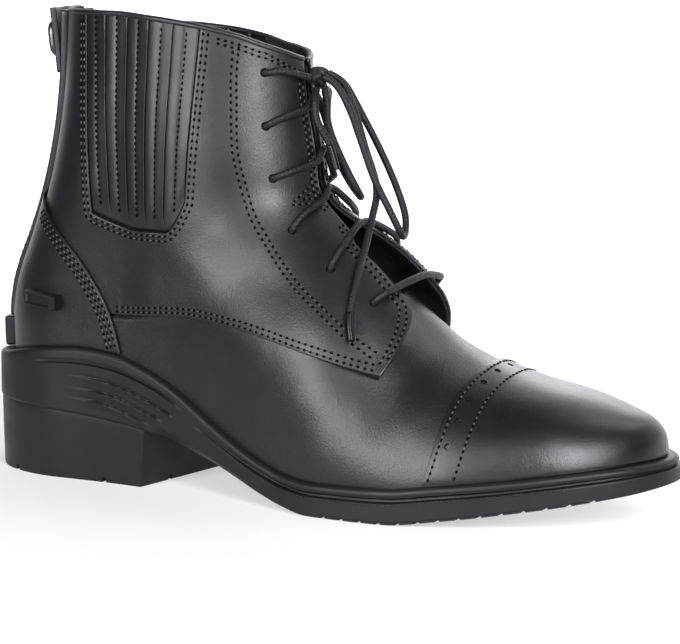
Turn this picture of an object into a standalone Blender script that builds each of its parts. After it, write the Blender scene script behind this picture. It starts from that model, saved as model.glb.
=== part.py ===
"""Right jodhpur boot: a laced leather ankle boot with pleated gores, a zip at the back and a moulded sole.

Sizes are in millimetres and the meshes are scaled to metres as they are made. +X runs from heel to toe,
+Y to the medial side, +Z up, with the floor at z = 0. x is measured from the back of the heel, and the
root empty then moves the boot so that the middle of the heel's walking face is the origin.
"""

import math

import bmesh
import bpy
import numpy as np
from mathutils import Vector

for old in list(bpy.data.objects):
    bpy.data.objects.remove(old, do_unlink=True)

MM = 0.001
GAP = 0.3

# Driving dimensions of the whole boot
UPPER_TIP_X = 279.6
HEEL_REST_X = 42.0
WALL = 2.4
QUARTER_STEP = 1.4
INSOLE_THICKNESS = 3.0

# Along the foot: bed of the sole, centre line, and half widths of the last at its widest
#  x, bed z, centre y, lateral, medial
LAST_SECTIONS = (
    (0.0, 40.5, 0.0, 30.0, 30.0),
    (30.0, 40.0, 0.0, 30.5, 30.5),
    (60.0, 37.0, 0.0, 31.0, 30.5),
    (85.0, 31.0, 0.0, 32.5, 31.0),
    (110.0, 22.0, 0.0, 35.8, 32.5),
    (140.0, 11.6, 0.0, 42.0, 37.5),
    (165.0, 8.4, 0.4, 46.6, 42.0),
    (190.0, 8.6, 1.4, 47.6, 44.0),
    (215.0, 11.2, 3.0, 46.8, 43.5),
    (245.0, 15.6, 5.2, 46.0, 42.5),
    (286.0, 22.0, 7.2, 46.0, 40.0),
)

# Front outline of the upper from the toe to the collar: the ridge of the vamp, the instep and the shaft
#  x, z
FRONT_OUTLINE = (
    (279.6, 26.6),
    (278.7, 32.0),
    (274.8, 36.2),
    (264.5, 40.1),
    (250.0, 44.4),
    (228.0, 49.2),
    (212.0, 54.9),
    (202.0, 59.8),
    (193.0, 65.6),
    (182.0, 76.6),
    (172.0, 86.8),
    (162.0, 95.6),
    (152.0, 103.6),
    (144.5, 111.0),
    (140.8, 118.5),
    (139.8, 127.0),
    (138.2, 137.0),
    (135.6, 151.0),
    (134.2, 166.0),
    (133.4, 190.0),
)
FRONT_SAMPLES = 700

# Back outline of the upper and half widths of the shaft there
#  z, back x, shaft half width
BACK_SECTIONS = (
    (36.0, 9.5, 30.5),
    (50.0, 7.4, 30.5),
    (60.0, 7.2, 31.0),
    (70.0, 8.4, 31.5),
    (80.0, 11.4, 32.0),
    (92.0, 16.6, 33.0),
    (107.0, 22.4, 34.0),
    (130.0, 28.6, 34.0),
    (145.0, 31.2, 33.4),
    (160.0, 32.6, 32.0),
    (190.0, 33.4, 29.0),
)

# Upper edge of the quarters, which drops on the medial side, and the seam that joins them to the vamp
#  x, z
COLLAR_LINE = (
    (28.0, 183.6), (50.0, 184.2), (67.0, 184.2), (82.0, 183.0), (100.0, 181.0), (125.0, 175.5), (140.0, 171.0),
)
COLLAR_FRONT_Z = {-1: 171.0, 1: 163.0}
COLLAR_DROP_X = (34.5, 54.0)
SEAM_LINE = ((5.0, 66.0), (70.0, 67.0), (102.0, 69.0), (123.0, 67.0), (153.0, 60.5), (183.0, 51.0))
SEAM_CORNER_X = 183.0
THROAT_X = 189.0
THROAT_END_X = 191.0
# Half of the gap between the facings, over the level from the throat to the collar
#  level, half gap
FACING_GAP = ((0.0, 13.2), (0.06, 9.4), (0.3, 9.2), (0.38, 5.5), (0.5, 2.8), (0.7, 2.4), (1.0, 2.4))

# How the sides of the last round over to its front and back outlines
FRONT_ROUND = 53.0
BACK_ROUND = 34.0
TIP_ROUND = 90.0
TOE_FULLNESS = 2.25
INSTEP_FULLNESS = 1.9
FULLNESS_X = (250.0, 205.0)
INSTEP_X = (214.0, 188.0)
SHAFT_BLEND_Z = (58.0, 118.0)
FEATHER_TUCK = 0.035
FEATHER_TUCK_HEIGHT = 4.0
FACING_HALF = 34.0

# Where the quarters step out from the vamp, and where their front flaps lift off it
STEP_X = (70.0, 86.0)
FLAP_LIFT = 4.2
FLAP_Z = (120.0, 84.0)
FLAP_REACH = (190.0, 235.0)
FLAP_SLANT = 0.72

# Grid of the upper. Columns run from the middle of the back to the toe, rows from the bed of the sole to
# the ridge of the vamp, and above the seam from the seam to the collar.
CORNER_COLUMN = 13
THROAT_COLUMN = CORNER_COLUMN + 1
RIDGE_COLUMN = THROAT_COLUMN + 1
TOE_COLUMN = RIDGE_COLUMN + 9
RIM_ROW = 2
RIDGE_ROW = 9
COLLAR_ROW = 11
BACK_SPREAD = 0.56
COLUMN_FOOT_Z = 44.0
COLUMN_FOOT_X = {CORNER_COLUMN: 175.0, THROAT_COLUMN: 188.0, RIDGE_COLUMN: 200.0}
EDGE_PULL = 1.5

# Along the sole: its underside, the rim that its side rises to, and how far it stands out from the upper
#  x, under z, rim z, margin
SOLE_SECTIONS = (
    (-1.0, 28.6, 44.5, 8.8),
    (14.0, 28.8, 47.0, 7.0),
    (31.0, 28.2, 51.0, 4.6),
    (51.0, 26.8, 53.0, 3.5),
    (66.0, 25.4, 51.8, 3.2),
    (80.0, 23.6, 47.8, 3.2),
    (96.0, 20.0, 40.6, 3.2),
    (107.0, 16.4, 33.8, 3.2),
    (118.0, 12.8, 27.0, 3.3),
    (128.0, 9.2, 21.6, 3.4),
    (138.0, 5.4, 17.0, 3.5),
    (148.0, 2.2, 13.8, 3.6),
    (160.0, 0.0, 12.4, 3.7),
    (190.0, 0.0, 13.2, 3.8),
    (213.0, 3.0, 16.0, 4.0),
    (233.0, 6.2, 18.4, 4.4),
    (258.0, 10.4, 21.8, 4.8),
    (276.0, 14.2, 23.8, 6.4),
    (290.0, 18.4, 24.4, 7.2),
)
# The sole's side from its lower edge to the rim, at the heel cup and at the forefoot
#  share of the heel's height, heel offset, share of the forefoot's height, forefoot offset
SOLE_SIDE = (
    (0.00, 0.0, 0.00, -1.4),
    (0.14, 0.2, 0.10, 0.0),
    (0.22, -0.5, 0.22, 0.0),
    (0.30, 0.3, 0.34, 0.0),
    (0.36, -0.5, 0.46, 0.0),
    (0.44, 0.3, 0.54, 0.0),
    (0.50, -0.5, 0.60, -0.1),
    (0.60, 0.3, 0.64, -0.6),
    (0.66, 0.2, 0.66, -2.5),
    (0.70, -0.9, 0.71, -2.5),
    (0.75, 0.2, 0.75, -1.6),
    (0.95, 0.1, 0.94, -1.6),
    (1.00, -0.7, 1.00, -2.4),
)
SIDE_BLEND_X = (104.0, 150.0)

# The heel block under the cup, with grooves that part its walking face into lugs
HEEL_BREAST_X = 86.5
HEEL_HALF = 32.0
HEEL_TAPER = 2.6
HEEL_BACK_TAPER = 0.15
BREAST_SKEW = math.radians(10.0)
BREAST_LEAN = 3.0
HEEL_COLUMNS = 9
HEEL_GROOVES_X = (17.0, 60.0)
HEEL_GROOVES_Y = (-18.0, 18.0)
HEEL_GROOVE_WIDTH = 2.0
HEEL_GROOVE_DEPTH = 2.0
#  share of the height, share of the taper
HEEL_SIDE = ((0.0, 1.25), (0.05, 1.0), (0.5, 0.5), (1.0, 0.0))

# The tongue, under the facings and the end of the vamp
#  level of the facing, half width
TONGUE_SECTIONS = ((-0.14, 12.0), (0.0, 17.0), (0.2, 21.0), (0.45, 21.6), (0.75, 20.2), (1.02, 18.4))
TONGUE_DEPTH = 4.8
TONGUE_THICKNESS = 2.4
TONGUE_ROWS = 14
TONGUE_SHARES = (-1.0, -0.7, -0.35, 0.0, 0.35, 0.7, 1.0)

# Overlays on the upper: offsets are the near and the far side of each from the upper's function
OVERLAY_OFFSETS = (GAP, 1.5)
RIM_CLEARANCE = 0.8
#  x, z
CAP_EDGE = ((205.6, 17.0), (207.2, 23.0), (208.9, 34.0), (210.4, 45.0), (213.4, 54.0), (219.0, 70.0))
CAP_RIM_X = (300.0, 276.0, 258.0, 240.0, 224.0, 206.0)
CAP_CORNER = (300.0, 70.0)
#  x, z
COUNTER_EDGE = ((-12.0, 128.0), (30.0, 112.0), (38.6, 104.0), (47.0, 95.0), (58.0, 80.0), (66.0, 66.0))
COUNTER_RIM_X = (70.5, 66.0, 58.0, 46.0, 34.0, 22.0, 8.0, -12.0)
STRIP_HALF = 9.4
STRIP_Z = (59.0, 182.4)
LIP_OFFSETS = (GAP, 2.6)
CHAIN_HALF = 1.9
CHAIN_OFFSETS = (GAP, 1.7)
SLIDER = {"half": 3.4, "z": (147.6, 156.2), "offsets": (2.9, 5.2)}
TAB = {"half": 7.6, "z": (157.2, 183.0), "offsets": (2.8, 5.6), "lean": 0.13}
SNAP = {"half": 6.2, "up": 7.2, "corner": 0.65, "z": 170.6, "thickness": 3.0, "seat": 7.6, "tilt": 0.12, "sides": 16}
BACK_REST = {"half": STRIP_HALF, "z": (47.2, 58.6), "offsets": (GAP, 6.4)}
SIDE_REST = {"x": (28.6, 40.6), "z": (69.2, 68.2), "half": 2.8, "offsets": (1.8, 4.8), "end_steps": 4}
SIDE_SPAN = (12.0, 80.0)
BACK_SPAN = (-20.0, 60.0)

# The gores: pleated elastic in a U-shaped opening of each side of the shaft
#  z, x
GORE_BACK = ((101.0, 59.2), (186.0, 53.2))
GORE_FRONT = ((101.0, 99.8), (186.0, 104.6))
GORE_LOW_Z = 100.6
GORE_HIGH_Z = 200.0
#  share of the width, height, power
GORE_REAR_CORNER = (0.45, 5.5, 1.3)
GORE_FRONT_CORNER = (0.2, 12.0, 2.0)
GORE_WIDTH = 41.0
GORE_STEPS = 14
GORE_ROWS = 4
GORE_SETBACK = 0.9
GORE_PLEATS = 5
#  share of a pleat's width, height
PLEAT = ((0.0, 0.0), (0.14, 0.6), (0.9, 0.9))

# The eyelets from the lowest pair to the highest, and the lace that crosses from one side to the other
#  level of the facing, distance in from the front outline
EYELETS = ((0.125, 7.6), (0.30, 10.0), (0.475, 10.0), (0.605, 10.0), (0.775, 10.0), (0.93, 8.8))
EYELET_RADIUS = 1.9
EYELET_SIDES = 8
EYELET_CUT = (-7.0, 5.0)
LACE_DIAMETER = 2.8
LACE_RADIUS = LACE_DIAMETER / 2.0
LACE_STEP = 2.6 * LACE_DIAMETER
LACE_CLEARANCE = (0.4, 1.1, 1.1)
CROSSING_RISE = 0.07
CROSSING_INSET = 3.0

# The bow: its knot in front of the top of the facings, and the routes of its loops and ends
#  x, y, z
KNOT_CENTRE = (140.3, 0.0, 159.4)
KNOT_HALF = (3.5, 5.5, 4.4)
KNOT_ROWS = 6
KNOT_SIDES = 10
TOP_LACE_END = (139.6, 5.95, 159.5)
LOOP_FRONT = (
    (143.8, 3.4, 160.0),
    (148.0, 7.0, 156.6),
    (154.0, 9.6, 145.0),
    (161.0, 11.2, 131.6),
    (167.2, 12.0, 118.4),
    (171.4, 11.6, 107.6),
    (173.2, 8.4, 101.4),
    (174.2, 4.6, 99.8),
    (174.6, 0.8, 102.2),
    (171.2, -1.8, 110.8),
    (165.0, -2.0, 122.2),
    (160.0, -2.2, 135.0),
    (155.0, -2.4, 147.6),
    (149.6, -2.6, 156.4),
    (144.1, -3.0, 160.0),
)
END_FRONT = (
    (144.3, 0.2, 161.3),
    (149.6, 2.4, 157.2),
    (154.0, 3.6, 146.4),
    (158.2, 4.0, 133.0),
    (162.6, 3.6, 121.4),
    (164.0, 2.0, 114.6),
    (164.6, -2.4, 108.0),
    (166.0, -8.6, 101.8),
    (167.6, -15.0, 96.6),
    (169.2, -22.2, 91.0),
    (170.4, -28.2, 84.6),
    (171.0, -32.8, 78.4),
    (172.0, -36.2, 72.2),
    (173.8, -38.4, 66.0),
)
LOOP_SIDE = (
    (142.5, 0.6, 154.6),
    (144.0, -0.2, 149.6),
    (144.4, -0.8, 144.6),
    (145.8, -1.0, 139.2),
    (148.8, -0.6, 132.0),
    (153.0, 0.0, 123.6),
    (155.8, 1.8, 117.2),
    (155.4, 6.0, 113.8),
    (151.4, 11.8, 113.8),
    (145.4, 17.8, 116.4),
    (138.8, 23.2, 121.4),
    (132.6, 27.2, 128.6),
    (129.4, 28.8, 137.4),
    (130.4, 26.4, 145.6),
    (134.2, 20.0, 150.8),
    (138.2, 12.6, 153.0),
    (140.4, 4.5, 155.2),
)
END_SIDE = (
    (141.1, -3.2, 155.3),
    (142.8, -7.6, 150.4),
    (143.6, -8.6, 145.4),
    (145.4, -8.2, 140.8),
    (148.0, -7.4, 136.4),
    (150.0, -7.0, 130.4),
    (151.6, -7.0, 125.2),
)

ROOT = bpy.data.objects.new("boot", None)
ROOT.location = (-HEEL_REST_X * MM, 0.0, 0.0)
bpy.context.scene.collection.objects.link(ROOT)


def rise(value, start, end):
    """Smooth step from 0 at start to 1 at end."""
    share = np.clip((value - start) / (end - start), 0.0, 1.0)
    return share * share * (3.0 - 2.0 * share)


def curve(rows, column, key=0):
    """Monotone cubic through one column of a table, over its key column."""
    table = np.array(rows, float)
    table = table[np.argsort(table[:, key])]
    at = table[:, key]
    value = table[:, column]
    step = np.diff(at)
    slope = np.diff(value) / step
    tangent = np.zeros(len(at))
    tangent[0] = slope[0]
    tangent[-1] = slope[-1]
    for i in range(1, len(at) - 1):
        if slope[i - 1] * slope[i] > 0.0:
            near = 2.0 * step[i] + step[i - 1]
            far = step[i] + 2.0 * step[i - 1]
            tangent[i] = (near + far) / (near / slope[i - 1] + far / slope[i])

    def read(wanted):
        wanted = np.clip(wanted, at[0], at[-1])
        i = np.clip(np.searchsorted(at, wanted) - 1, 0, len(step) - 1)
        u = (wanted - at[i]) / step[i]
        start = value[i] + u * u * (3.0 - 2.0 * u) * (value[i + 1] - value[i])
        return start + step[i] * u * (1.0 - u) * ((1.0 - u) * tangent[i] - u * tangent[i + 1])

    return read


bed_z = curve(LAST_SECTIONS, 1)
centre_y = curve(LAST_SECTIONS, 2)
lateral_half = curve(LAST_SECTIONS, 3)
medial_half = curve(LAST_SECTIONS, 4)
back_x = curve(BACK_SECTIONS, 1)
shaft_half = curve(BACK_SECTIONS, 2)
collar_z = curve(COLLAR_LINE, 1)
seam_z = curve(SEAM_LINE, 1)
facing_gap = curve(FACING_GAP, 1)
under_z = curve(SOLE_SECTIONS, 1)
rim_z = curve(SOLE_SECTIONS, 2)
sole_margin = curve(SOLE_SECTIONS, 3)


def front_curve():
    """The front outline as closely spaced points, with the length along it from the toe."""
    rows = np.array(FRONT_OUTLINE)
    length = np.concatenate([[0.0], np.cumsum(np.hypot(*np.diff(rows, axis=0).T))])
    table = np.column_stack([length, rows])
    along = np.linspace(0.0, length[-1], FRONT_SAMPLES)
    return along, np.column_stack([curve(table, 1)(along), curve(table, 2)(along)])


FRONT_LENGTH, FRONT = front_curve()
FRONT_INWARD = np.column_stack([-np.gradient(FRONT[:, 1]), np.gradient(FRONT[:, 0])])
FRONT_INWARD /= np.hypot(*FRONT_INWARD.T)[:, None]


def ridge_z(x):
    return np.interp(x, FRONT[::-1, 0], FRONT[::-1, 1])


def front_length_at_x(x):
    return np.interp(x, FRONT[::-1, 0], FRONT_LENGTH[::-1])


def front_length_at_z(z):
    return np.interp(z, FRONT[:, 1], FRONT_LENGTH)


def front_point(length, inward):
    """Point of the side view at a length along the front outline, moved inward from it."""
    place = [np.interp(length, FRONT_LENGTH, FRONT[:, i]) for i in (0, 1)]
    normal = [np.interp(length, FRONT_LENGTH, FRONT_INWARD[:, i]) for i in (0, 1)]
    return place[0] + inward * normal[0], place[1] + inward * normal[1]


def gap_to_front(x, z):
    """Distance in the side view to the front outline."""
    start = FRONT[:-1]
    run = np.diff(FRONT, axis=0)
    share = ((np.array((x, z)) - start) * run).sum(1) / (run * run).sum(1)
    nearest = start + np.clip(share, 0.0, 1.0)[:, None] * run
    return np.hypot(nearest[:, 0] - x, nearest[:, 1] - z).min()


def rounded(share, fullness):
    """Half width, as a share, at a share of the way in from the outline."""
    share = min(max(share, 0.0), 1.0)
    return (1.0 - (1.0 - share) ** fullness) ** (1.0 / fullness)


def half_width(x, z, side):
    """Half width of the upper's outside at one place in the side view. side is -1 lateral, 1 medial."""
    foot = lateral_half(x) if side < 0 else medial_half(x)
    width = foot + (shaft_half(z) - foot) * rise(z, *SHAFT_BLEND_Z)
    width *= rounded((UPPER_TIP_X - x) / TIP_ROUND, 2.0)
    width *= rounded((x - back_x(z)) / BACK_ROUND, 2.0)
    width *= 1.0 - FEATHER_TUCK * math.exp(-max(z - bed_z(x), 0.0) / FEATHER_TUCK_HEIGHT)
    height = max(ridge_z(x) - bed_z(x), 1.0)
    fullness = TOE_FULLNESS + (INSTEP_FULLNESS - TOE_FULLNESS) * rise(x, *FULLNESS_X)
    on_vamp = rounded((ridge_z(x) - z) / height, fullness)
    on_instep = rounded(gap_to_front(x, z) / FRONT_ROUND, INSTEP_FULLNESS)
    return width * (on_vamp + (on_instep - on_vamp) * rise(x, *INSTEP_X))


THROAT_LENGTH = front_length_at_x(THROAT_X)


def depth_at(half):
    """How far in from the front outline the instep and the shaft reach a half width."""
    share = (half / FACING_HALF) ** INSTEP_FULLNESS
    return FRONT_ROUND * (1.0 - (1.0 - share) ** (1.0 / INSTEP_FULLNESS))


def facing_place(level, side, inward):
    """Point of the side view at a level of the facing, from the throat (0) to the collar (1)."""
    collar_length = front_length_at_z(COLLAR_FRONT_Z[side])
    return front_point(THROAT_LENGTH + level * (collar_length - THROAT_LENGTH), inward)


def facing_edge(level, side):
    """Front edge of a quarter in the side view."""
    return facing_place(level, side, depth_at(facing_gap(level)))


def collar_at(x, side):
    drop = COLLAR_FRONT_Z[-1] - COLLAR_FRONT_Z[1]
    return collar_z(x) - (drop * rise(x, *COLLAR_DROP_X) if side > 0 else 0.0)


def back_share(column):
    """Share of the way from the back to the corner of the quarter."""
    turn = BACK_SPREAD * math.pi
    return (1.0 - math.cos(turn * column / CORNER_COLUMN)) / (1.0 - math.cos(turn))


def toe_share(column):
    """Share of the way from the end of the throat to the toe."""
    return math.sin(0.5 * math.pi * (column - RIDGE_COLUMN) / (TOE_COLUMN - RIDGE_COLUMN))


def column_foot(column):
    """x where a column starts, at the bed of the sole."""
    back = back_x(COLUMN_FOOT_Z)
    if column <= CORNER_COLUMN:
        return back + back_share(column) * (COLUMN_FOOT_X[CORNER_COLUMN] - back)
    if column <= RIDGE_COLUMN:
        return COLUMN_FOOT_X[column]
    ridge = COLUMN_FOOT_X[RIDGE_COLUMN]
    return ridge + toe_share(column) * (UPPER_TIP_X - ridge)


def column_head(column, side):
    """Point of the side view where a column ends, on the seam, the throat or the ridge."""
    if column <= CORNER_COLUMN:
        back = back_x(seam_z(0.0))
        x = back + back_share(column) * (SEAM_CORNER_X - back)
        return x, seam_z(x)
    if column == THROAT_COLUMN:
        return facing_edge(0.0, side)
    x = THROAT_END_X + toe_share(column) * (UPPER_TIP_X - THROAT_END_X)
    return x, ridge_z(x)


def vamp_place(row, column, side):
    """Point of the side view below the seam."""
    foot = column_foot(column)
    head_x, head_z = column_head(column, side)
    low = bed_z(foot) + GAP
    rim = rim_z(foot)
    if row <= RIM_ROW:
        x, z = foot, low + (rim - low) * row / RIM_ROW
    else:
        share = math.sin(0.5 * math.pi * (row - RIM_ROW) / (RIDGE_ROW - RIM_ROW))
        x, z = foot + (head_x - foot) * share, rim + (head_z - rim) * share
    return (back_x(z), z) if column == 0 else (x, z)


def quarter_place(row, column, side):
    """Point of the side view above the seam, following the seam, the facing and the collar."""
    level = row / COLLAR_ROW
    seam_back = seam_z(0.0)
    collar_back = collar_z(0.0)
    back_height = seam_back + level * (collar_back - seam_back)
    edge_x, edge_z = facing_edge(level, side)
    low_x, low_z = facing_edge(0.0, side)
    top_x, top_z = facing_edge(1.0, side)
    head_x, head_z = column_head(column, side)
    share = (head_x - back_x(seam_back)) / (low_x - back_x(seam_back))
    x = back_x(back_height) + share * (edge_x - back_x(back_height))
    z = back_height + share * (edge_z - back_height)
    z += (1.0 - level) ** EDGE_PULL * (head_z - seam_back - share * (low_z - seam_back))
    if column < THROAT_COLUMN:
        collar_x = back_x(collar_back) + share * (top_x - back_x(collar_back))
        straight = collar_back + share * (top_z - collar_back)
        z += level ** EDGE_PULL * (collar_at(collar_x, side) - straight)
    return (back_x(z), z) if column == 0 else (x, z)


GRID_PARTS = (
    ("vamp", RIDGE_ROW, TOE_COLUMN, vamp_place),
    ("quarter", COLLAR_ROW, THROAT_COLUMN, quarter_place),
)


def on_outline(part, row, column):
    """Whether a place of the grid lies where the two sides meet."""
    on_ridge = part == "vamp" and row == RIDGE_ROW and column >= RIDGE_COLUMN
    return on_ridge or column in (0, TOE_COLUMN)


def upper_grid():
    """Points on the outside of the last for each (part, side, row, column)."""
    points = {}
    for part, rows, columns, place in GRID_PARTS:
        for row in range(rows + 1):
            for column in range(columns + 1):
                for side in (-1, 1):
                    x, z = place(row, column, side)
                    half = 0.0 if on_outline(part, row, column) else half_width(x, z, side)
                    points[part, side, row, column] = Vector((x, centre_y(x) + side * half, z))
    return points


def grid_faces():
    """Corner keys of every face of the upper's outside."""
    faces = []
    for side in (-1, 1):
        for part, rows, columns, place in GRID_PARTS:
            for row in range(rows):
                for column in range(columns):
                    corners = ((row, column), (row, column + 1), (row + 1, column + 1), (row + 1, column))
                    keys = [(part, side, r, c) for r, c in corners]
                    faces.append(keys if side < 0 else keys[::-1])
    return faces


def merged(faces):
    """bmesh of faces given as corner points, with the points that coincide joined."""
    bm = bmesh.new()
    for corners in faces:
        bm.faces.new([bm.verts.new(point) for point in corners])
    bmesh.ops.remove_doubles(bm, verts=bm.verts, dist=0.002)
    bmesh.ops.dissolve_degenerate(bm, edges=bm.edges, dist=0.0005)
    return bm


def grid_normals(points, faces):
    """Outward direction at each point of the grid."""
    bm = merged([[points[key] for key in keys] for keys in faces])
    bm.normal_update()
    outward = {tuple(round(c, 1) for c in vert.co): vert.normal.copy() for vert in bm.verts}
    normals = {key: outward[tuple(round(c, 1) for c in point)] for key, point in points.items()}
    bm.free()
    return normals


GRID = upper_grid()
GRID_FACES = grid_faces()
GRID_NORMALS = grid_normals(GRID, GRID_FACES)


def shifted(key, distance):
    return GRID[key] + GRID_NORMALS[key] * distance


def raise_at(x, z):
    """How far a quarter's outside stands proud of the vamp: its thickness, and the lift of its front flap."""
    lift = FLAP_LIFT * rise(z, *FLAP_Z) * rise(x + FLAP_SLANT * z, *FLAP_REACH)
    return QUARTER_STEP * rise(x, *STEP_X) + lift


def quarter_raise(key):
    return 0.0 if key[0] == "vamp" else raise_at(GRID[key].x, GRID[key].z)


def wall_faces(low, high):
    """Faces of a closed wall over the whole grid, between two offsets given as functions of the key."""
    outer = {key: shifted(key, high(key)) for key in GRID}
    inner = {key: shifted(key, low(key)) for key in GRID}
    faces = [[outer[key] for key in keys] for keys in GRID_FACES]
    faces += [[inner[key] for key in keys[::-1]] for keys in GRID_FACES]
    edges = []
    for side in (-1, 1):
        bottom = [("vamp", side, 0, column) for column in range(TOE_COLUMN + 1)]
        collar = [("quarter", side, COLLAR_ROW, column) for column in range(THROAT_COLUMN + 1)]
        facing = [("quarter", side, row, THROAT_COLUMN) for row in range(COLLAR_ROW + 1)]
        throat = [("vamp", side, RIDGE_ROW, column) for column in (THROAT_COLUMN, RIDGE_COLUMN)]
        for line in (bottom, collar, facing, throat):
            edges += list(zip(line, line[1:]))
        for column in range(THROAT_COLUMN):
            a, b = [("vamp", side, RIDGE_ROW, c) for c in (column, column + 1)]
            c, d = [("quarter", side, 0, c) for c in (column + 1, column)]
            faces.append([outer[a], outer[b], outer[c], outer[d]])
            faces.append([inner[d], inner[c], inner[b], inner[a]])
        edges.append((("quarter", side, 0, THROAT_COLUMN), ("vamp", side, RIDGE_ROW, THROAT_COLUMN)))
    faces += [[outer[a], outer[b], inner[b], inner[a]] for a, b in edges]
    return faces


def material(name, colour, roughness, metallic=0.0):
    made = bpy.data.materials.new(name)
    made.use_nodes = True
    shader = made.node_tree.nodes["Principled BSDF"]
    shader.inputs["Base Color"].default_value = (*colour, 1.0)
    shader.inputs["Roughness"].default_value = roughness
    shader.inputs["Metallic"].default_value = metallic
    return made


LEATHER = material("black_leather", (0.012, 0.012, 0.013), 0.38)
RUBBER = material("black_rubber", (0.018, 0.018, 0.019), 0.55)
LINING = material("dark_lining", (0.03, 0.03, 0.032), 0.8)
METAL = material("dark_metal", (0.12, 0.12, 0.125), 0.3, 1.0)
ELASTIC = material("black_elastic", (0.016, 0.016, 0.018), 0.6)
CORD = material("waxed_cord", (0.014, 0.014, 0.015), 0.5)


def solid(name, faces, look):
    """Object of one closed body, from faces in millimetres."""
    bm = merged(faces)
    bmesh.ops.recalc_face_normals(bm, faces=bm.faces)
    bmesh.ops.triangulate(bm, faces=bm.faces)
    bmesh.ops.scale(bm, vec=(MM, MM, MM), verts=bm.verts)
    mesh = bpy.data.meshes.new(name)
    bm.to_mesh(mesh)
    bm.free()
    mesh.materials.append(look)
    made = bpy.data.objects.new(name, mesh)
    bpy.context.scene.collection.objects.link(made)
    made.parent = ROOT
    return made


def cutter(name, faces):
    made = solid(name, faces, LEATHER)
    made.hide_render = True
    made.display_type = "WIRE"
    return made


def cut(target, tool, operation="DIFFERENCE"):
    boolean = target.modifiers.new(tool.name, "BOOLEAN")
    boolean.operation = operation
    boolean.solver = "EXACT"
    boolean.object = tool


def bands(lines):
    """Faces between neighbouring lines of points."""
    faces = []
    for low, high in zip(lines, lines[1:]):
        for i in range(len(low) - 1):
            faces.append([low[i], low[i + 1], high[i + 1], high[i]])
    return faces


def prism(outline, axis, span):
    """Faces of an outline of (a, b) points pushed along one axis: 0 takes (y, z), 1 takes (x, z)."""
    def at(point, depth):
        return (depth, point[0], point[1]) if axis == 0 else (point[0], depth, point[1])
    near = [at(point, span[0]) for point in outline]
    far = [at(point, span[1]) for point in outline]
    return [near, far] + bands([near + near[:1], far + far[:1]])


def box_outline(low, high, heights):
    return ((low, heights[0]), (high, heights[0]), (high, heights[1]), (low, heights[1]))


def circle(radius, sides):
    """Points of a circle as (across, up)."""
    angles = [2.0 * math.pi * step / sides for step in range(sides)]
    return [(radius * math.cos(angle), radius * math.sin(angle)) for angle in angles]


# The upper, the sole unit and the footbed


def make_upper():
    """Vamp, quarters and shaft as one hollow leather wall, with the quarters a step proud of the vamp."""
    def low(key):
        return -WALL + (quarter_raise(key) if key[2] > 0 else 0.0)
    return solid("upper", wall_faces(low, quarter_raise), LEATHER)


def sole_outline():
    """Plan outline of the sole as (side, column) -> point and outward direction."""
    loop = [(-1, column) for column in range(TOE_COLUMN + 1)]
    loop += [(1, column) for column in range(TOE_COLUMN - 1, 0, -1)]
    flat = [GRID["vamp", side, RIM_ROW, column].xy for side, column in loop]
    plan = {}
    for i, key in enumerate(loop):
        run = flat[(i + 1) % len(flat)] - flat[i - 1]
        plan[key] = (flat[i], Vector((run.y, -run.x)).normalized())
    for column in (0, TOE_COLUMN):
        plan[1, column] = plan[-1, column]
    return plan


SOLE_PLAN = sole_outline()


def sole_point(side, column, row):
    place, outward = SOLE_PLAN[side, column]
    share = rise(place.x, *SIDE_BLEND_X)
    heel_height, heel_out, fore_height, fore_out = SOLE_SIDE[row]
    height = heel_height + (fore_height - heel_height) * share
    out = sole_margin(place.x) + heel_out + (fore_out - heel_out) * share
    edge = place + outward * out
    low, top = under_z(place.x), rim_z(place.x)
    return Vector((edge.x, edge.y, low + (top - low) * height))


def make_outsole():
    """Moulded unit: heel cup with its ribs, waist, forefoot edge with a welt rim, and the bed inside."""
    columns = range(TOE_COLUMN + 1)
    faces = []
    ends = {}
    for side in (-1, 1):
        lines = [[sole_point(side, column, row) for column in columns] for row in range(len(SOLE_SIDE))]
        for row in range(RIM_ROW, -1, -1):
            lines.append([shifted(("vamp", side, row, column), GAP) for column in columns])
        lines.append([Vector((p.x, p.y, bed_z(column_foot(c)))) for c, p in zip(columns, lines[-1])])
        faces += bands(lines)
        ends[side] = (lines[0], lines[-1])
    for level in (0, 1):
        faces += bands([ends[-1][level], ends[1][level]])
    return solid("outsole", faces, RUBBER)


def make_insole():
    """Footbed lying on the outsole inside the upper."""
    faces = []
    edges = {}
    for side in (-1, 1):
        low = [shifted(("vamp", side, 0, column), -WALL - 2.0 * GAP) for column in range(TOE_COLUMN + 1)]
        top = [point + Vector((0.0, 0.0, INSOLE_THICKNESS)) for point in low]
        faces += bands([low, top])
        edges[side] = (low, top)
    for level in (0, 1):
        faces += bands([edges[-1][level], edges[1][level]])
    return solid("insole", faces, LINING)


def sole_edge(x, side):
    """Half width of the sole's lower edge at x."""
    line = [sole_point(side, column, 0) for column in range(TOE_COLUMN + 1)]
    return np.interp(x, [p.x for p in line], [abs(p.y) for p in line])


def heel_line(share, taper, side):
    """One line round the heel's side from the middle of the back to the breast."""
    back = sole_point(-1, 0, 0).x
    breast = HEEL_BREAST_X + side * HEEL_HALF * math.tan(BREAST_SKEW) + BREAST_LEAN * (share - 0.5)
    line = []
    for column in range(HEEL_COLUMNS + 1):
        along = 1.0 - math.cos(0.5 * math.pi * column / HEEL_COLUMNS)
        x = back + along * (breast - back)
        half = sole_edge(x, side) * (1.0 - taper * HEEL_TAPER / HEEL_HALF)
        x += taper * HEEL_TAPER * HEEL_BACK_TAPER * (1.0 - along)
        line.append(Vector((x, side * half if column else 0.0, share * (under_z(x) - GAP))))
    return line


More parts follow.
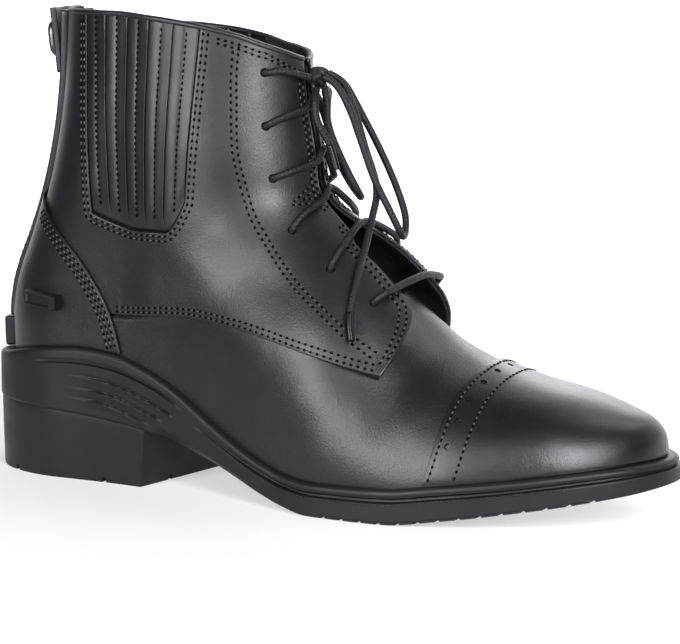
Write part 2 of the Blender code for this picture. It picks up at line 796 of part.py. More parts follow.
def make_heel():
    """Heel block, with its walking face grooved into flat lugs."""
    lines = {side: [heel_line(share, taper, side) for share, taper in HEEL_SIDE] for side in (-1, 1)}
    faces = bands(lines[-1]) + bands(lines[1])
    for level in (0, -1):
        faces += bands([lines[-1][level], lines[1][level]])
    faces += bands([[line[-1] for line in lines[-1]], [line[-1] for line in lines[1]]])
    made = solid("heel", faces, RUBBER)
    half = HEEL_GROOVE_WIDTH / 2.0
    heights = (-1.0, HEEL_GROOVE_DEPTH)
    across, along = [], []
    for x in HEEL_GROOVES_X:
        across += prism(box_outline(x - half, x + half, heights), 1, (-60.0, 60.0))
    for y in HEEL_GROOVES_Y:
        along += prism(box_outline(y - half, y + half, heights), 0, (-20.0, 120.0))
    cut(made, cutter("heel_grooves_across", across))
    cut(made, cutter("heel_grooves_along", along))
    return made


def make_tongue():
    """Leather tongue, bent around the instep just inside the facings."""
    half = curve(TONGUE_SECTIONS, 1)
    start, end = TONGUE_SECTIONS[0][0], TONGUE_SECTIONS[-1][0]
    outer, inner = [], []
    for row in range(TONGUE_ROWS + 1):
        level = start + (end - start) * row / TONGUE_ROWS
        for skin, depth in ((outer, TONGUE_DEPTH), (inner, TONGUE_DEPTH + TONGUE_THICKNESS)):
            line = []
            for share in TONGUE_SHARES:
                across = share * half(level)
                x, z = facing_place(level, -1, depth + depth_at(abs(across)))
                line.append(Vector((x, across + centre_y(x), z)))
            skin.append(line)
    faces = bands(outer) + bands(inner)
    for end in (0, -1):
        faces += bands([outer[end], inner[end]])
        faces += bands([[line[end] for line in outer], [line[end] for line in inner]])
    return solid("tongue", faces, LEATHER)


# Overlays, cut from the skin between two offsets of the upper by an outline pushed across it


def overlay(name, offsets, outline, axis, span, look, lean=0.0):
    """Layer over the upper within an outline. lean is how far it moves out for each step up."""
    foot = min(point[1] for point in outline)
    low, high = [lambda key, off=off: off + lean * max(0.0, GRID[key].z - foot) for off in offsets]
    made = solid(name, wall_faces(low, high), look)
    cut(made, cutter(name + "_outline", prism(outline, axis, span)), "INTERSECT")
    return made


def side_span(side, inner=SIDE_SPAN[0]):
    return sorted((side * inner, side * SIDE_SPAN[1]))


def make_toe_cap():
    rim = [(x, rim_z(x) + RIM_CLEARANCE) for x in CAP_RIM_X]
    rear = [point for point in CAP_EDGE if point[1] > rim[-1][1]]
    span = (-SIDE_SPAN[1], SIDE_SPAN[1])
    return overlay("toe_cap", OVERLAY_OFFSETS, rim + rear + [CAP_CORNER], 1, span, LEATHER)


def make_counter(name, side):
    rim = [(x, rim_z(x) + RIM_CLEARANCE) for x in COUNTER_RIM_X]
    outline = list(COUNTER_EDGE) + rim
    return overlay(name, OVERLAY_OFFSETS, outline, 1, side_span(side, STRIP_HALF + GAP), LEATHER)


def make_back_piece(name, offsets, low_y, high_y, heights, look, lean=0.0):
    return overlay(name, offsets, box_outline(low_y, high_y, heights), 0, BACK_SPAN, look, lean)


def make_centred_back_piece(name, sizes, look):
    lean = sizes.get("lean", 0.0)
    return make_back_piece(name, sizes["offsets"], -sizes["half"], sizes["half"], sizes["z"], look, lean)


def make_side_rest(name, side):
    """Short moulded bar on the counter that carries a spur's strap."""
    outline = []
    for end, turn in ((1, -0.5), (0, 0.5)):
        for step in range(SIDE_REST["end_steps"] + 1):
            angle = math.pi * (turn + step / SIDE_REST["end_steps"])
            x = SIDE_REST["x"][end] + SIDE_REST["half"] * math.cos(angle)
            outline.append((x, SIDE_REST["z"][end] + SIDE_REST["half"] * math.sin(angle)))
    return overlay(name, SIDE_REST["offsets"], outline, 1, side_span(side), RUBBER)


def make_snap():
    """Press stud on the tab: a flat cap with rounded corners that leans with the tab."""
    outline = []
    for across, up in circle(1.0, SNAP["sides"]):
        across, up = [math.copysign(abs(value) ** SNAP["corner"], value) for value in (across, up)]
        outline.append((SNAP["half"] * across, SNAP["up"] * up))
    seat = back_x(SNAP["z"]) - SNAP["seat"]
    faces = prism(outline, 0, (seat - SNAP["thickness"], seat))
    return solid("snap", [[(x - SNAP["tilt"] * z, y, z + SNAP["z"]) for x, y, z in face] for face in faces], METAL)


# The gores


def gore_x(share, z):
    """x at a share of the way across a gore."""
    ends = []
    for low, high in (GORE_BACK, GORE_FRONT):
        ends.append(low[1] + (high[1] - low[1]) * (z - low[0]) / (high[0] - low[0]))
    return ends[0] + share * (ends[1] - ends[0])


def gore_low(share):
    """Lower edge of a gore, with its corners turned up."""
    low = GORE_LOW_Z
    for aside, (width, height, power) in ((share, GORE_REAR_CORNER), (1.0 - share, GORE_FRONT_CORNER)):
        low += height * max(0.0, 1.0 - aside / width) ** power
    return low


def cut_gore(target, name, side):
    shares = [step / GORE_STEPS for step in range(GORE_STEPS + 1)]
    outline = [(gore_x(share, gore_low(share)), gore_low(share)) for share in shares]
    outline += [(gore_x(share, GORE_HIGH_Z), GORE_HIGH_Z) for share in (1.0, 0.0)]
    cut(target, cutter(name + "_opening", prism(outline, 1, side_span(side))))


def make_gore(name, side):
    """Elastic panel whose outside is folded into upright pleats."""
    shares = []
    for pleat in range(GORE_PLEATS):
        shares += [((pleat + along) / GORE_PLEATS, height) for along, height in PLEAT]
    shares.append((1.0, 0.0))
    inside = 1.0 - 2.0 * GAP / GORE_WIDTH
    outer, inner = [], []
    for row in range(GORE_ROWS + 1):
        skins = ([], [])
        for share, height in shares:
            across = 0.5 + (share - 0.5) * inside
            low = gore_low(across) + 1.5 * GAP
            top = collar_at(gore_x(across, GORE_BACK[1][0]), side) - 2.0 * GAP
            z = low + (top - low) * row / GORE_ROWS
            x = gore_x(across, z)
            raised = raise_at(x, z)
            for skin, offset in zip(skins, (raised - GORE_SETBACK + height, raised - WALL)):
                skin.append(Vector((x, centre_y(x) + side * (half_width(x, z, side) + offset), z)))
        outer.append(skins[0])
        inner.append(skins[1])
    faces = bands(outer) + bands(inner)
    for end in (0, -1):
        faces += bands([outer[end], inner[end]])
        faces += bands([[line[end] for line in outer], [line[end] for line in inner]])
    return solid(name, faces, ELASTIC)


# The eyelets, the lace across the throat and the bow


def on_quarter(x, z, side, out):
    """Point at a distance from the outside of a quarter, and the direction outward there."""
    step = 0.25
    half = half_width(x, z, side)
    slope_x = (half_width(x + step, z, side) - half_width(x - step, z, side)) / (2.0 * step)
    slope_z = (half_width(x, z + step, side) - half_width(x, z - step, side)) / (2.0 * step)
    outward = Vector((-slope_x, side, -slope_z)).normalized()
    base = Vector((x, centre_y(x) + side * half, z))
    return base + outward * (raise_at(x, z) + out), outward


def cut_eyelets(target):
    faces = []
    for level, inset in EYELETS:
        for side in (-1, 1):
            middle, outward = on_quarter(*facing_place(level, side, inset), side, 0.0)
            across = outward.orthogonal().normalized()
            up = outward.cross(across)
            ring = [middle + across * a + up * b for a, b in circle(EYELET_RADIUS, EYELET_SIDES)]
            near, far = [[point + outward * depth for point in ring] for depth in EYELET_CUT]
            faces += [near, far] + bands([near + near[:1], far + far[:1]])
    cut(target, cutter("eyelet_holes", faces))


def route_point(points, length, at):
    """Catmull-Rom point at a length along a route."""
    i = min(max(int(np.searchsorted(length, at)) - 1, 0), len(points) - 2)
    before = points[max(i - 1, 0)]
    after = points[min(i + 2, len(points) - 1)]
    u = (at - length[i]) / (length[i + 1] - length[i])
    start, end = points[i], points[i + 1]
    square = (2.0 * before - 5.0 * start + 4.0 * end - after) * u ** 2
    cube = (3.0 * start - before - 3.0 * end + after) * u ** 3
    return 0.5 * (2.0 * start + (end - before) * u + square + cube)


def cord(name, route):
    """Round cord along a smooth curve through the route's points."""
    points = np.array([tuple(point) for point in route])
    length = np.concatenate([[0.0], np.cumsum(np.linalg.norm(np.diff(points, axis=0), axis=1))])
    count = max(3, int(length[-1] / LACE_STEP) + 1)
    data = bpy.data.curves.new(name, "CURVE")
    data.dimensions = "3D"
    data.bevel_depth = LACE_RADIUS * MM
    data.bevel_resolution = 2
    data.use_fill_caps = True
    spline = data.splines.new("POLY")
    spline.points.add(count - 1)
    for i, at in enumerate(np.linspace(0.0, length[-1], count)):
        spline.points[i].co = (*(route_point(points, length, at) * MM), 1.0)
    data.materials.append(CORD)
    made = bpy.data.objects.new(name, data)
    bpy.context.scene.collection.objects.link(made)
    made.parent = ROOT
    return made


def half_crossing(index, side, lift):
    """From an eyelet over the quarter to the front edge of its facing."""
    level, inset = EYELETS[index]
    edge = depth_at(facing_gap(level) + CROSSING_INSET)
    route = []
    for share, clearance in zip((0.0, 0.5, 1.0), LACE_CLEARANCE):
        x, z = facing_place(level + 0.5 * lift * share, side, inset + (edge - inset) * share)
        route.append(on_quarter(x, z, side, LACE_RADIUS + clearance)[0])
    return route


def crossing_route(index, lift):
    """From the lateral eyelet over the throat to the medial one, higher in the middle by the lift."""
    level = EYELETS[index][0] + lift
    x, z = facing_place(level, -1, 0.0)
    x, z = facing_place(level, -1, -raise_at(x, z) - LACE_RADIUS - LACE_CLEARANCE[-1])
    middle = Vector((x, centre_y(x), z))
    return half_crossing(index, -1, lift) + [middle] + half_crossing(index, 1, lift)[::-1]


def top_lace_route(side):
    """From the highest eyelet to the side of the knot."""
    x, y, z = TOP_LACE_END
    return half_crossing(len(EYELETS) - 1, side, 0.0)[:2] + [Vector((x, side * y, z))]


def make_knot():
    """Rounded body of the bow's knot."""
    rings = []
    for row in range(KNOT_ROWS + 1):
        angle = math.pi * row / KNOT_ROWS
        ring = []
        for across, up in circle(math.sin(angle), KNOT_SIDES):
            share = (across, math.cos(angle), up)
            ring.append(Vector([KNOT_CENTRE[i] + KNOT_HALF[i] * share[i] for i in range(3)]))
        rings.append(ring + ring[:1])
    return solid("lace_knot", bands(rings), CORD)


upper = make_upper()
make_outsole()
make_insole()
make_heel()
make_tongue()
make_toe_cap()
for side, word in ((-1, "lateral"), (1, "medial")):
    make_counter("counter_" + word, side)
    make_side_rest("spur_rest_" + word, side)
    cut_gore(upper, "gore_" + word, side)
    make_gore("gore_" + word, side)
    low_y, high_y = sorted((side * (CHAIN_HALF + GAP), side * STRIP_HALF))
    make_back_piece("zip_lip_" + word, LIP_OFFSETS, low_y, high_y, STRIP_Z, LEATHER)
    cord("lace_top_" + word, top_lace_route(side))
make_back_piece("zip_chain", CHAIN_OFFSETS, -CHAIN_HALF, CHAIN_HALF, STRIP_Z, METAL)
make_centred_back_piece("zip_slider", SLIDER, METAL)
make_centred_back_piece("snap_tab", TAB, LEATHER)
make_centred_back_piece("spur_rest_back", BACK_REST, RUBBER)
make_snap()
cut_eyelets(upper)
cord("lace_bar", crossing_route(0, 0.0))
for index in range(1, len(EYELETS) - 1):
    cord(f"lace_crossing_{index}", crossing_route(index, CROSSING_RISE))
make_knot()
cord("lace_loop_front", LOOP_FRONT)
cord("lace_end_front", END_FRONT)
cord("lace_loop_side", LOOP_SIDE)
cord("lace_end_side", END_SIDE)
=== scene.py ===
"""Dressed model of the right jodhpur boot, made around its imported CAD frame.

Sizes are in millimetres, with x from the back of the heel, y to the medial side and z up from the floor.
metres() moves x to the frame's origin, the middle of the heel's walking face, and scales to metres.
"""

import math

import bmesh
import bpy
import numpy as np
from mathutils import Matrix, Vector


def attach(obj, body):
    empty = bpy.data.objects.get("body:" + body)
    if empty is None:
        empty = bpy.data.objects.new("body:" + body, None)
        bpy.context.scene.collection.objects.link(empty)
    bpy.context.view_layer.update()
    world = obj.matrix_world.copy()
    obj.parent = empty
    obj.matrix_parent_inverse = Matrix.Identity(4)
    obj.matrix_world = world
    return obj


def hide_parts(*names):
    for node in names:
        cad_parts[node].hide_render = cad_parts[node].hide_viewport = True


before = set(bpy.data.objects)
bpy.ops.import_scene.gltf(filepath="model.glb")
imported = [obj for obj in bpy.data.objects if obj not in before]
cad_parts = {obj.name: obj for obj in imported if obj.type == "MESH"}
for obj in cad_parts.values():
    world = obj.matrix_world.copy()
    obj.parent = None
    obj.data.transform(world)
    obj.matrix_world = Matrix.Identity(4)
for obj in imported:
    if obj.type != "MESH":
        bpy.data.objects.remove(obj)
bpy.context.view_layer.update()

# Vamp
# The forepart of the upper, one piece of smooth black calf pulled over the last and tucked under the rim of
# the sole. Its rear edge runs below the quarters, and the last's own form is described here with it.

LATERAL, MEDIAL = -1, 1
SIDES = ((LATERAL, "lateral"), (MEDIAL, "medial"))
#  x, bed z, centre y, lateral half width, medial half width
LAST_SECTIONS = (
    (0, 40.5, 0, 30, 30), (30, 40, 0, 30.5, 30.5), (60, 37, 0, 31, 30.5), (85, 31, 0, 32.5, 31),
    (110, 22, 0, 35.8, 32.5), (140, 11.6, 0, 42, 37.5), (165, 8.4, 0.4, 46.6, 42), (190, 8.6, 1.4, 47.6, 44),
    (215, 11.2, 3, 46.8, 43.5), (245, 15.6, 5.2, 46, 42.5), (286, 22, 7.2, 46, 40),
)
#  x, z of the front outline from the toe up to the collar
FRONT_OUTLINE = (
    (279.6, 26.6), (278.7, 32), (274.8, 36.2), (264.5, 40.1), (250, 44.4), (228, 49.2), (212, 54.9),
    (202, 59.8), (193, 65.6), (182, 76.6), (172, 86.8), (162, 95.6), (152, 103.6), (144.5, 111),
    (140.8, 118.5), (139.8, 127), (138.2, 137), (135.6, 151), (134.2, 166), (133.4, 190),
)
#  z, back x, half width of the shaft
BACK_SECTIONS = (
    (36, 9.5, 30.5), (50, 7.4, 30.5), (60, 7.2, 31), (70, 8.4, 31.5), (80, 11.4, 32), (92, 16.6, 33),
    (107, 22.4, 34), (130, 28.6, 34), (145, 31.2, 33.4), (160, 32.6, 32), (190, 33.4, 29),
)
SEAM_LINE = ((5, 66), (70, 67), (102, 69), (123, 67), (153, 60.5), (183, 51))
TIP_X = 279.6
#  x of the frame's origin
ORIGIN_X = 42.0
#  how far in from the outline the last keeps narrowing, at the front, the toe and the heel
FRONT_ROUND, TOE_ROUND, HEEL_ROUND = 53.0, 90.0, 34.0
TOE_FULLNESS, INSTEP_FULLNESS = 2.25, 1.9
#  x over which the toe's fullness and then the vamp's section turn into those of the instep
FULLNESS_X, INSTEP_X = (250.0, 205.0), (214.0, 188.0)
#  z over which the foot's width turns into the shaft's, and x over which the quarters come to lie on the vamp
SHAFT_Z, OVERLAP_X = (58.0, 118.0), (70.0, 86.0)
VAMP_THICKNESS = 1.6
THROAT_X = (158.0, 178.0)
#  how far the vamp dips below the quarters behind and at the throat, and the x over which it does there
REAR_DIP, THROAT_DIP, THROAT_DIP_X = 1.5, 3.2, (193.0, 172.0)
#  x, z of one end, x, z of the other, half width, depth
VAMP_FOLDS = ((196, 66, 186, 26, 7, -0.5), (205, 60, 198, 24, 5, 0.3), (160, 40, 150, 18, 9, -0.4))


def rise(value, start, end):
    """Smooth step from 0 at start to 1 at end."""
    share = np.clip((value - start) / (end - start), 0.0, 1.0)
    return share * share * (3.0 - 2.0 * share)


def curve(rows, column):
    """Monotone cubic through one column of a table, over its first column."""
    table = np.array(rows, float)
    table = table[np.argsort(table[:, 0])]
    at, value = table[:, 0], table[:, column]
    step = np.diff(at)
    slope = np.diff(value) / step
    tangent = np.concatenate([slope[:1], np.zeros(len(at) - 2), slope[-1:]])
    for i in range(1, len(at) - 1):
        if slope[i - 1] * slope[i] > 0.0:
            near, far = 2.0 * step[i] + step[i - 1], step[i] + 2.0 * step[i - 1]
            tangent[i] = (near + far) / (near / slope[i - 1] + far / slope[i])

    def read(wanted):
        wanted = np.clip(wanted, at[0], at[-1])
        i = np.clip(np.searchsorted(at, wanted) - 1, 0, len(step) - 1)
        u = (wanted - at[i]) / step[i]
        start = value[i] + u * u * (3.0 - 2.0 * u) * (value[i + 1] - value[i])
        return start + step[i] * u * (1.0 - u) * ((1.0 - u) * tangent[i] - u * tangent[i + 1])

    return read


bed_z, centre_y, lateral_half, medial_half = [curve(LAST_SECTIONS, i) for i in (1, 2, 3, 4)]
back_x, shaft_half = curve(BACK_SECTIONS, 1), curve(BACK_SECTIONS, 2)
seam_z = curve(SEAM_LINE, 1)


def lengths(points):
    """Length along a line of points to each of them."""
    return np.concatenate([[0.0], np.cumsum(np.linalg.norm(np.diff(points, axis=0), axis=1))])


#  the front outline as closely spaced points, with the length along it from the toe
outline = np.column_stack([lengths(np.array(FRONT_OUTLINE, float)), FRONT_OUTLINE])
FRONT_LENGTH = np.linspace(0.0, outline[-1, 0], 400)
FRONT = np.column_stack([curve(outline, i)(FRONT_LENGTH) for i in (1, 2)])
FRONT_RUN = np.diff(FRONT, axis=0)


def ridge_z(x):
    return np.interp(x, FRONT[::-1, 0], FRONT[::-1, 1])


def gap_to_front(x, z):
    """Distance in the side view to the front outline."""
    gaps = np.full(x.shape, FRONT_ROUND)
    near = np.flatnonzero((x < 216.0).ravel())
    squares = (FRONT_RUN ** 2).sum(1)
    for part in np.array_split(near, len(near) // 4000 + 1):
        to_x = x.ravel()[part, None] - FRONT[:-1, 0]
        to_z = z.ravel()[part, None] - FRONT[:-1, 1]
        share = np.clip((to_x * FRONT_RUN[:, 0] + to_z * FRONT_RUN[:, 1]) / squares, 0.0, 1.0)
        apart = (to_x - share * FRONT_RUN[:, 0]) ** 2 + (to_z - share * FRONT_RUN[:, 1]) ** 2
        gaps.reshape(-1)[part] = np.sqrt(apart.min(1))
    return gaps


def rounded(share, fullness):
    """Half width, as a share, at a share of the way in from the outline."""
    share = np.clip(share, 0.0, 1.0)
    return (1.0 - (1.0 - share) ** fullness) ** (1.0 / fullness)


def half_width(x, z, side):
    """Half width of the last in the side view."""
    foot = lateral_half(x) if side < 0 else medial_half(x)
    width = foot + (shaft_half(z) - foot) * rise(z, *SHAFT_Z)
    width = width * rounded((TIP_X - x) / TOE_ROUND, 2.0) * rounded((x - back_x(z)) / HEEL_ROUND, 2.0)
    width = width * (1.0 - 0.035 * np.exp(-np.maximum(z - bed_z(x), 0.0) / 4.0))
    fullness = TOE_FULLNESS + (INSTEP_FULLNESS - TOE_FULLNESS) * rise(x, *FULLNESS_X)
    on_vamp = rounded((ridge_z(x) - z) / np.maximum(ridge_z(x) - bed_z(x), 1.0), fullness)
    on_instep = rounded(gap_to_front(x, z) / FRONT_ROUND, INSTEP_FULLNESS)
    return width * (on_vamp + (on_instep - on_vamp) * rise(x, *INSTEP_X))


def skin(x, z, side, out, middle=None):
    """Rows of points that stand out from the last by a distance. middle marks those on its centre line."""
    half = half_width(x, z, side)
    if middle is not None:
        half = np.where(middle, 0.0, half)
    base = np.stack([x, centre_y(x) + side * half, z], -1)
    outward = np.cross(np.gradient(base, axis=1), np.gradient(base, axis=0)) * -side
    if middle is not None:
        outward[..., 1] = np.where(middle, 0.0, outward[..., 1])
    outward /= np.maximum(np.linalg.norm(outward, axis=-1, keepdims=True), 1e-9)
    outward *= np.where((outward[..., 1] * side).mean() < 0, -1.0, 1.0)
    return base + outward * np.asarray(out)[..., None]


def furrows(x, z, lines):
    """Height of soft folds in the leather, each along a straight line of the side view."""
    total = np.zeros(np.shape(x))
    for x1, z1, x2, z2, width, depth in lines:
        length = math.hypot(x2 - x1, z2 - z1)
        along = ((x - x1) * (x2 - x1) + (z - z1) * (z2 - z1)) / length ** 2
        aside = ((x - x1) * (z2 - z1) - (z - z1) * (x2 - x1)) / length
        total += depth * np.exp(-(aside / width) ** 2) * np.exp(-((along - 0.5) / 0.42) ** 4)
    return total


def grid_faces(rows, columns, side, start=0):
    """Corner numbers of the faces of a grid of points, facing out on its side."""
    r, c = [i.ravel() for i in np.mgrid[0:rows - 1, 0:columns - 1]]
    corner = start + r * columns + c
    faces = np.stack([corner, corner + 1, corner + columns + 1, corner + columns], -1)
    return faces if side < 0 else faces[:, ::-1]


def metres(points):
    return (np.asarray(points, float) - (ORIGIN_X, 0.0, 0.0)) / 1000.0


def placed(name, data):
    made = bpy.data.objects.new(name, data)
    bpy.context.scene.collection.objects.link(made)
    return made


def shown(name, mesh, look):
    mesh.materials.append(look)
    mesh.shade_smooth()
    return placed(name, mesh)


def built(name, points, faces, look):
    """Mesh object from points in millimetres, with those that coincide joined."""
    bm = bmesh.new()
    verts = [bm.verts.new(point) for point in metres(points)]
    for corners in faces:
        bm.faces.new([verts[i] for i in corners])
    bmesh.ops.remove_doubles(bm, verts=bm.verts, dist=5e-6)
    bmesh.ops.dissolve_degenerate(bm, edges=bm.edges, dist=1e-6)
    mesh = bpy.data.meshes.new(name)
    bm.to_mesh(mesh)
    bm.free()
    return shown(name, mesh, look)


def settled(made):
    """Turns the result of the modifiers into the object's own plain mesh."""
    graph = bpy.context.evaluated_depsgraph_get()
    mesh = bpy.data.meshes.new_from_object(made.evaluated_get(graph))
    made.modifiers.clear()
    made.data = mesh
    return made


def thickened(made, thickness, edge=0.3):
    """Gives a sheet its thickness inward, with its edges a little rounded."""
    wall = made.modifiers.new("thickness", "SOLIDIFY")
    wall.thickness = thickness / 1000.0
    wall.offset = -1.0
    wall.use_quality_normals = True
    if edge:
        round_edge = made.modifiers.new("edge", "BEVEL")
        round_edge.width = edge / 1000.0
        round_edge.segments = 2
        round_edge.limit_method = "ANGLE"
        round_edge.angle_limit = math.radians(50.0)
    return settled(made)


def dressed(made, slot, *nodes):
    """Ties a finished piece to the frame."""
    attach(made, "root")
    if nodes:
        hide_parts(*nodes)
    return made


def set_inputs(node, inputs):
    """Sets a node's inputs by name, or links them to the outputs of other nodes."""
    for name, value in inputs:
        if isinstance(value, bpy.types.NodeSocket):
            node.id_data.links.new(value, node.inputs[name])
        else:
            node.inputs[name].default_value = value


def add_node(tree, kind, inputs=(), **settings):
    node = tree.nodes.new(kind)
    for name, value in settings.items():
        setattr(node, name, value)
    set_inputs(node, inputs)
    return node


def new_look(name, colour, roughness):
    """Material with its node tree, its shader and the object's own coordinates."""
    look = bpy.data.materials.new(name)
    look.use_nodes = True
    shader = look.node_tree.nodes["Principled BSDF"]
    set_inputs(shader, (("Base Color", (*colour, 1.0)), ("Roughness", roughness)))
    return look, look.node_tree, shader, add_node(look.node_tree, "ShaderNodeTexCoord").outputs["Object"]


def cloudy(tree, place, scale, detail=2.0, roughness=0.5):
    inputs = (("Vector", place), ("Scale", scale), ("Detail", detail), ("Roughness", roughness))
    return add_node(tree, "ShaderNodeTexNoise", inputs).outputs[0]


def spread(tree, factor, low, high, start=0.3, end=0.7):
    """Number that runs from low to high as a texture does from start to end."""
    inputs = (("Value", factor), ("From Min", start), ("From Max", end), ("To Min", low), ("To Max", high))
    return add_node(tree, "ShaderNodeMapRange", inputs).outputs[0]


def tinted(tree, factor, low, high, start=0.3, end=0.7):
    """Colour that runs from low to high as a texture does from start to end."""
    node = add_node(tree, "ShaderNodeValToRGB", (("Fac", factor),))
    for element, place, colour in zip(node.color_ramp.elements, (start, end), (low, high)):
        element.position = place
        element.color = (*colour, 1.0)
    return node.outputs[0]


def bumped(tree, height, depth, below=None):
    """Normal from a height texture, depth in millimetres, on top of another one."""
    inputs = [("Height", height), ("Distance", depth / 1000.0)]
    if below is not None:
        inputs.append(("Normal", below))
    return add_node(tree, "ShaderNodeBump", inputs).outputs[0]


def leather(name, gloss, grain):
    """Smooth calf with a fine grain, uneven polish and faint rub marks."""
    dull, rubbed = (0.0032, 0.0033, 0.0043), (0.0052, 0.0053, 0.0067)
    look, tree, shader, place = new_look(name, dull, 0.4)
    polish, rub = cloudy(tree, place, 38.0, 4.0), cloudy(tree, place, 130.0, 6.0, 0.7)
    pebble = add_node(tree, "ShaderNodeTexVoronoi", (("Vector", place), ("Scale", 1500.0))).outputs[0]
    normal = bumped(tree, cloudy(tree, place, 75.0), 0.30)
    for height in (pebble, cloudy(tree, place, 3400.0)):
        normal = bumped(tree, height, 0.045 * grain, normal)
    set_inputs(shader, (
        ("Base Color", tinted(tree, rub, dull, rubbed)), ("Normal", normal),
        ("Roughness", spread(tree, polish, 0.36 - gloss, 0.46 - gloss)),
        ("Specular IOR Level", 0.34), ("Coat Weight", 0.08), ("Coat Roughness", 0.30)))
    return look


def vamp_top(x):
    """Upper edge of the vamp: hidden under the quarters, then the ridge from the throat to the toe."""
    hidden = seam_z(x) + 6.0
    return hidden + (ridge_z(x) - hidden) * rise(x, *THROAT_X) ** 3


def vamp_sheet(side):
    heel = back_x(44.0) + np.linspace(0.0, 1.0, 34) ** 2 * 52.0
    toe = TIP_X - np.linspace(1.0, 0.0, 62)[1:] ** 2 * (TIP_X - 205.0)
    foot = np.concatenate([heel, np.linspace(62.0, 205.0, 70), toe])[None, :]
    up = 1.0 - np.linspace(1.0, 0.0, 44)[:, None] ** 1.8
    low = bed_z(foot) + 0.3
    z = low + (vamp_top(foot) - low) * up
    x = np.maximum(foot, back_x(z) + (foot - foot[0, 0]) * 0.02)
    x[:, 0] = back_x(z[:, 0])
    middle = np.zeros(x.shape, bool)
    middle[:, [0, -1]] = True
    middle[-1] = x[-1] > THROAT_X[1] - 0.1
    dip = -REAR_DIP * (1.0 - rise(x, *OVERLAP_X)) * rise(z, seam_z(x) - 2.0, seam_z(x))
    at_ridge = rise(z, ridge_z(x) - 12.0, ridge_z(x) - 3.0)
    dip = dip - THROAT_DIP * rise(x, *THROAT_DIP_X) * at_ridge
    return skin(x, z, side, dip + furrows(x, z, VAMP_FOLDS), middle)


def both_sides(sheet):
    """Points and faces of a sheet's two sides, and the shape of the grid of one."""
    points, faces = [], []
    for side, word in SIDES:
        rows = sheet(side)
        faces.append(grid_faces(*rows.shape[:2], side, sum(map(len, points))))
        points.append(rows.reshape(-1, 3))
    return np.concatenate(points), faces, rows.shape[:2]


def two_sided(name, sheet, thickness, look):
    """One panel that runs over the centre line, from the sheets of its two sides."""
    points, faces = both_sides(sheet)[:2]
    return thickened(built(name, points, np.concatenate(faces), look), thickness)


VAMP_LEATHER = leather("vamp_leather", 0.04, 1.0)
dressed(two_sided("vamp", vamp_sheet, VAMP_THICKNESS, VAMP_LEATHER), "black_leather", "upper")

# Quarters
# The two sides of the boot, smooth calf sewn over the vamp in a double row and lined with thin leather. Their
# front flaps carry the eyelets and stand a little off the vamp, and each has a U-shaped opening for a gore.

COLLAR_LINE = (
    (28, 183.6), (50, 184.2), (67, 184.2), (82, 183), (100, 180.6), (117, 176.4), (123, 173.8), (130, 170.4),
    (133.8, 167.4), (136, 163.6),
)
COLLAR_FRONT_Z = {LATERAL: 171.0, MEDIAL: 163.0}
#  depth of the medial collar's dip, and the x from its start to its full depth, behind and before
COLLAR_DIP, DIP_REAR_X, DIP_FRONT_X = 7.3, (26.0, 46.0), (140.0, 110.0)
SHAFT_HALF = 34.0
#  level from the throat to the collar, half gap between the facings
FACING_GAP = ((0, 9.2), (0.3, 9.2), (0.38, 5.5), (0.5, 2.8), (0.7, 2.4), (1, 2.4))
#  z, x of the flap's front edge up to the rounded corner where the facing starts
FLAP_FRONT = ((51, 183), (55.7, 184.8), (60, 185.5), (64.1, 185.6), (67.2, 185.1), (69.6, 184.2))
#  how much shorter the medial flap is
FLAP_SHORTER = 5.6
#  x of a gore's two edges at its foot, how far they move over its height, and the foot's z and the height
GORE_X, GORE_SPREAD, GORE_FOOT_Z, GORE_HEIGHT = (59.2, 99.8), (-6.0, 4.8), 101.0, 85.0
GORE_LOW_Z = 100.6
#  how far the flap is lifted, and on the medial side at the seam and well above it
FLAP_LIFT, MEDIAL_LIFT = 4.2, (1.5, 6.2)
QUARTER_THICKNESS, QUARTER_OUT = 1.25, 1.4
LINING_THICKNESS = 1.0
QUARTER_FOLDS = ((108, 92, 150, 78, 8, -0.5), (112, 106, 128, 92, 6, 0.35), (84, 96, 122, 84, 7, 0.3))
STITCH_PITCH = 2.7
collar_z = curve(COLLAR_LINE, 1)
facing_gap = curve(FACING_GAP, 1)
FRONT_INWARD = np.column_stack([-np.gradient(FRONT[:, 1]), np.gradient(FRONT[:, 0])])
FRONT_INWARD /= np.hypot(*FRONT_INWARD.T)[:, None]
THROAT_LENGTH = np.interp(189.0, FRONT[::-1, 0], FRONT_LENGTH[::-1])


def depth_at(half):
    """How far in from the front outline the instep and the shaft reach a half width."""
    share = (half / SHAFT_HALF) ** INSTEP_FULLNESS
    return FRONT_ROUND * (1.0 - (1.0 - share) ** (1.0 / INSTEP_FULLNESS))


def facing_place(level, side, inward):
    """Point of the side view at a level of the facing, from the throat (0) to the collar (1)."""
    collar_length = np.interp(COLLAR_FRONT_Z[side], FRONT[:, 1], FRONT_LENGTH)
    length = THROAT_LENGTH + level * (collar_length - THROAT_LENGTH)
    x, z, in_x, in_z = [np.interp(length, FRONT_LENGTH, column) for column in (*FRONT.T, *FRONT_INWARD.T)]
    return x + inward * in_x, z + inward * in_z


def facing_x(z, side):
    """Front edge of a quarter at a height: the flap's front up to its corner, then the facing."""
    levels = np.linspace(0.05, 1.0, 160)
    x, up = facing_place(levels, side, depth_at(facing_gap(levels)))
    flap_z, flap_x = np.array(FLAP_FRONT, float).T
    flap_z, flap_x = np.concatenate([flap_z, up]), np.concatenate([flap_x, x])
    if side > 0:
        flap_x = flap_x - FLAP_SHORTER * rise(flap_z, 82.0, 66.0)
    return np.interp(z, flap_z, flap_x)


def collar_at(x, side):
    dip = COLLAR_DIP if side > 0 else 0.0
    return collar_z(x) - dip * rise(x, *DIP_REAR_X) * rise(x, *DIP_FRONT_X)


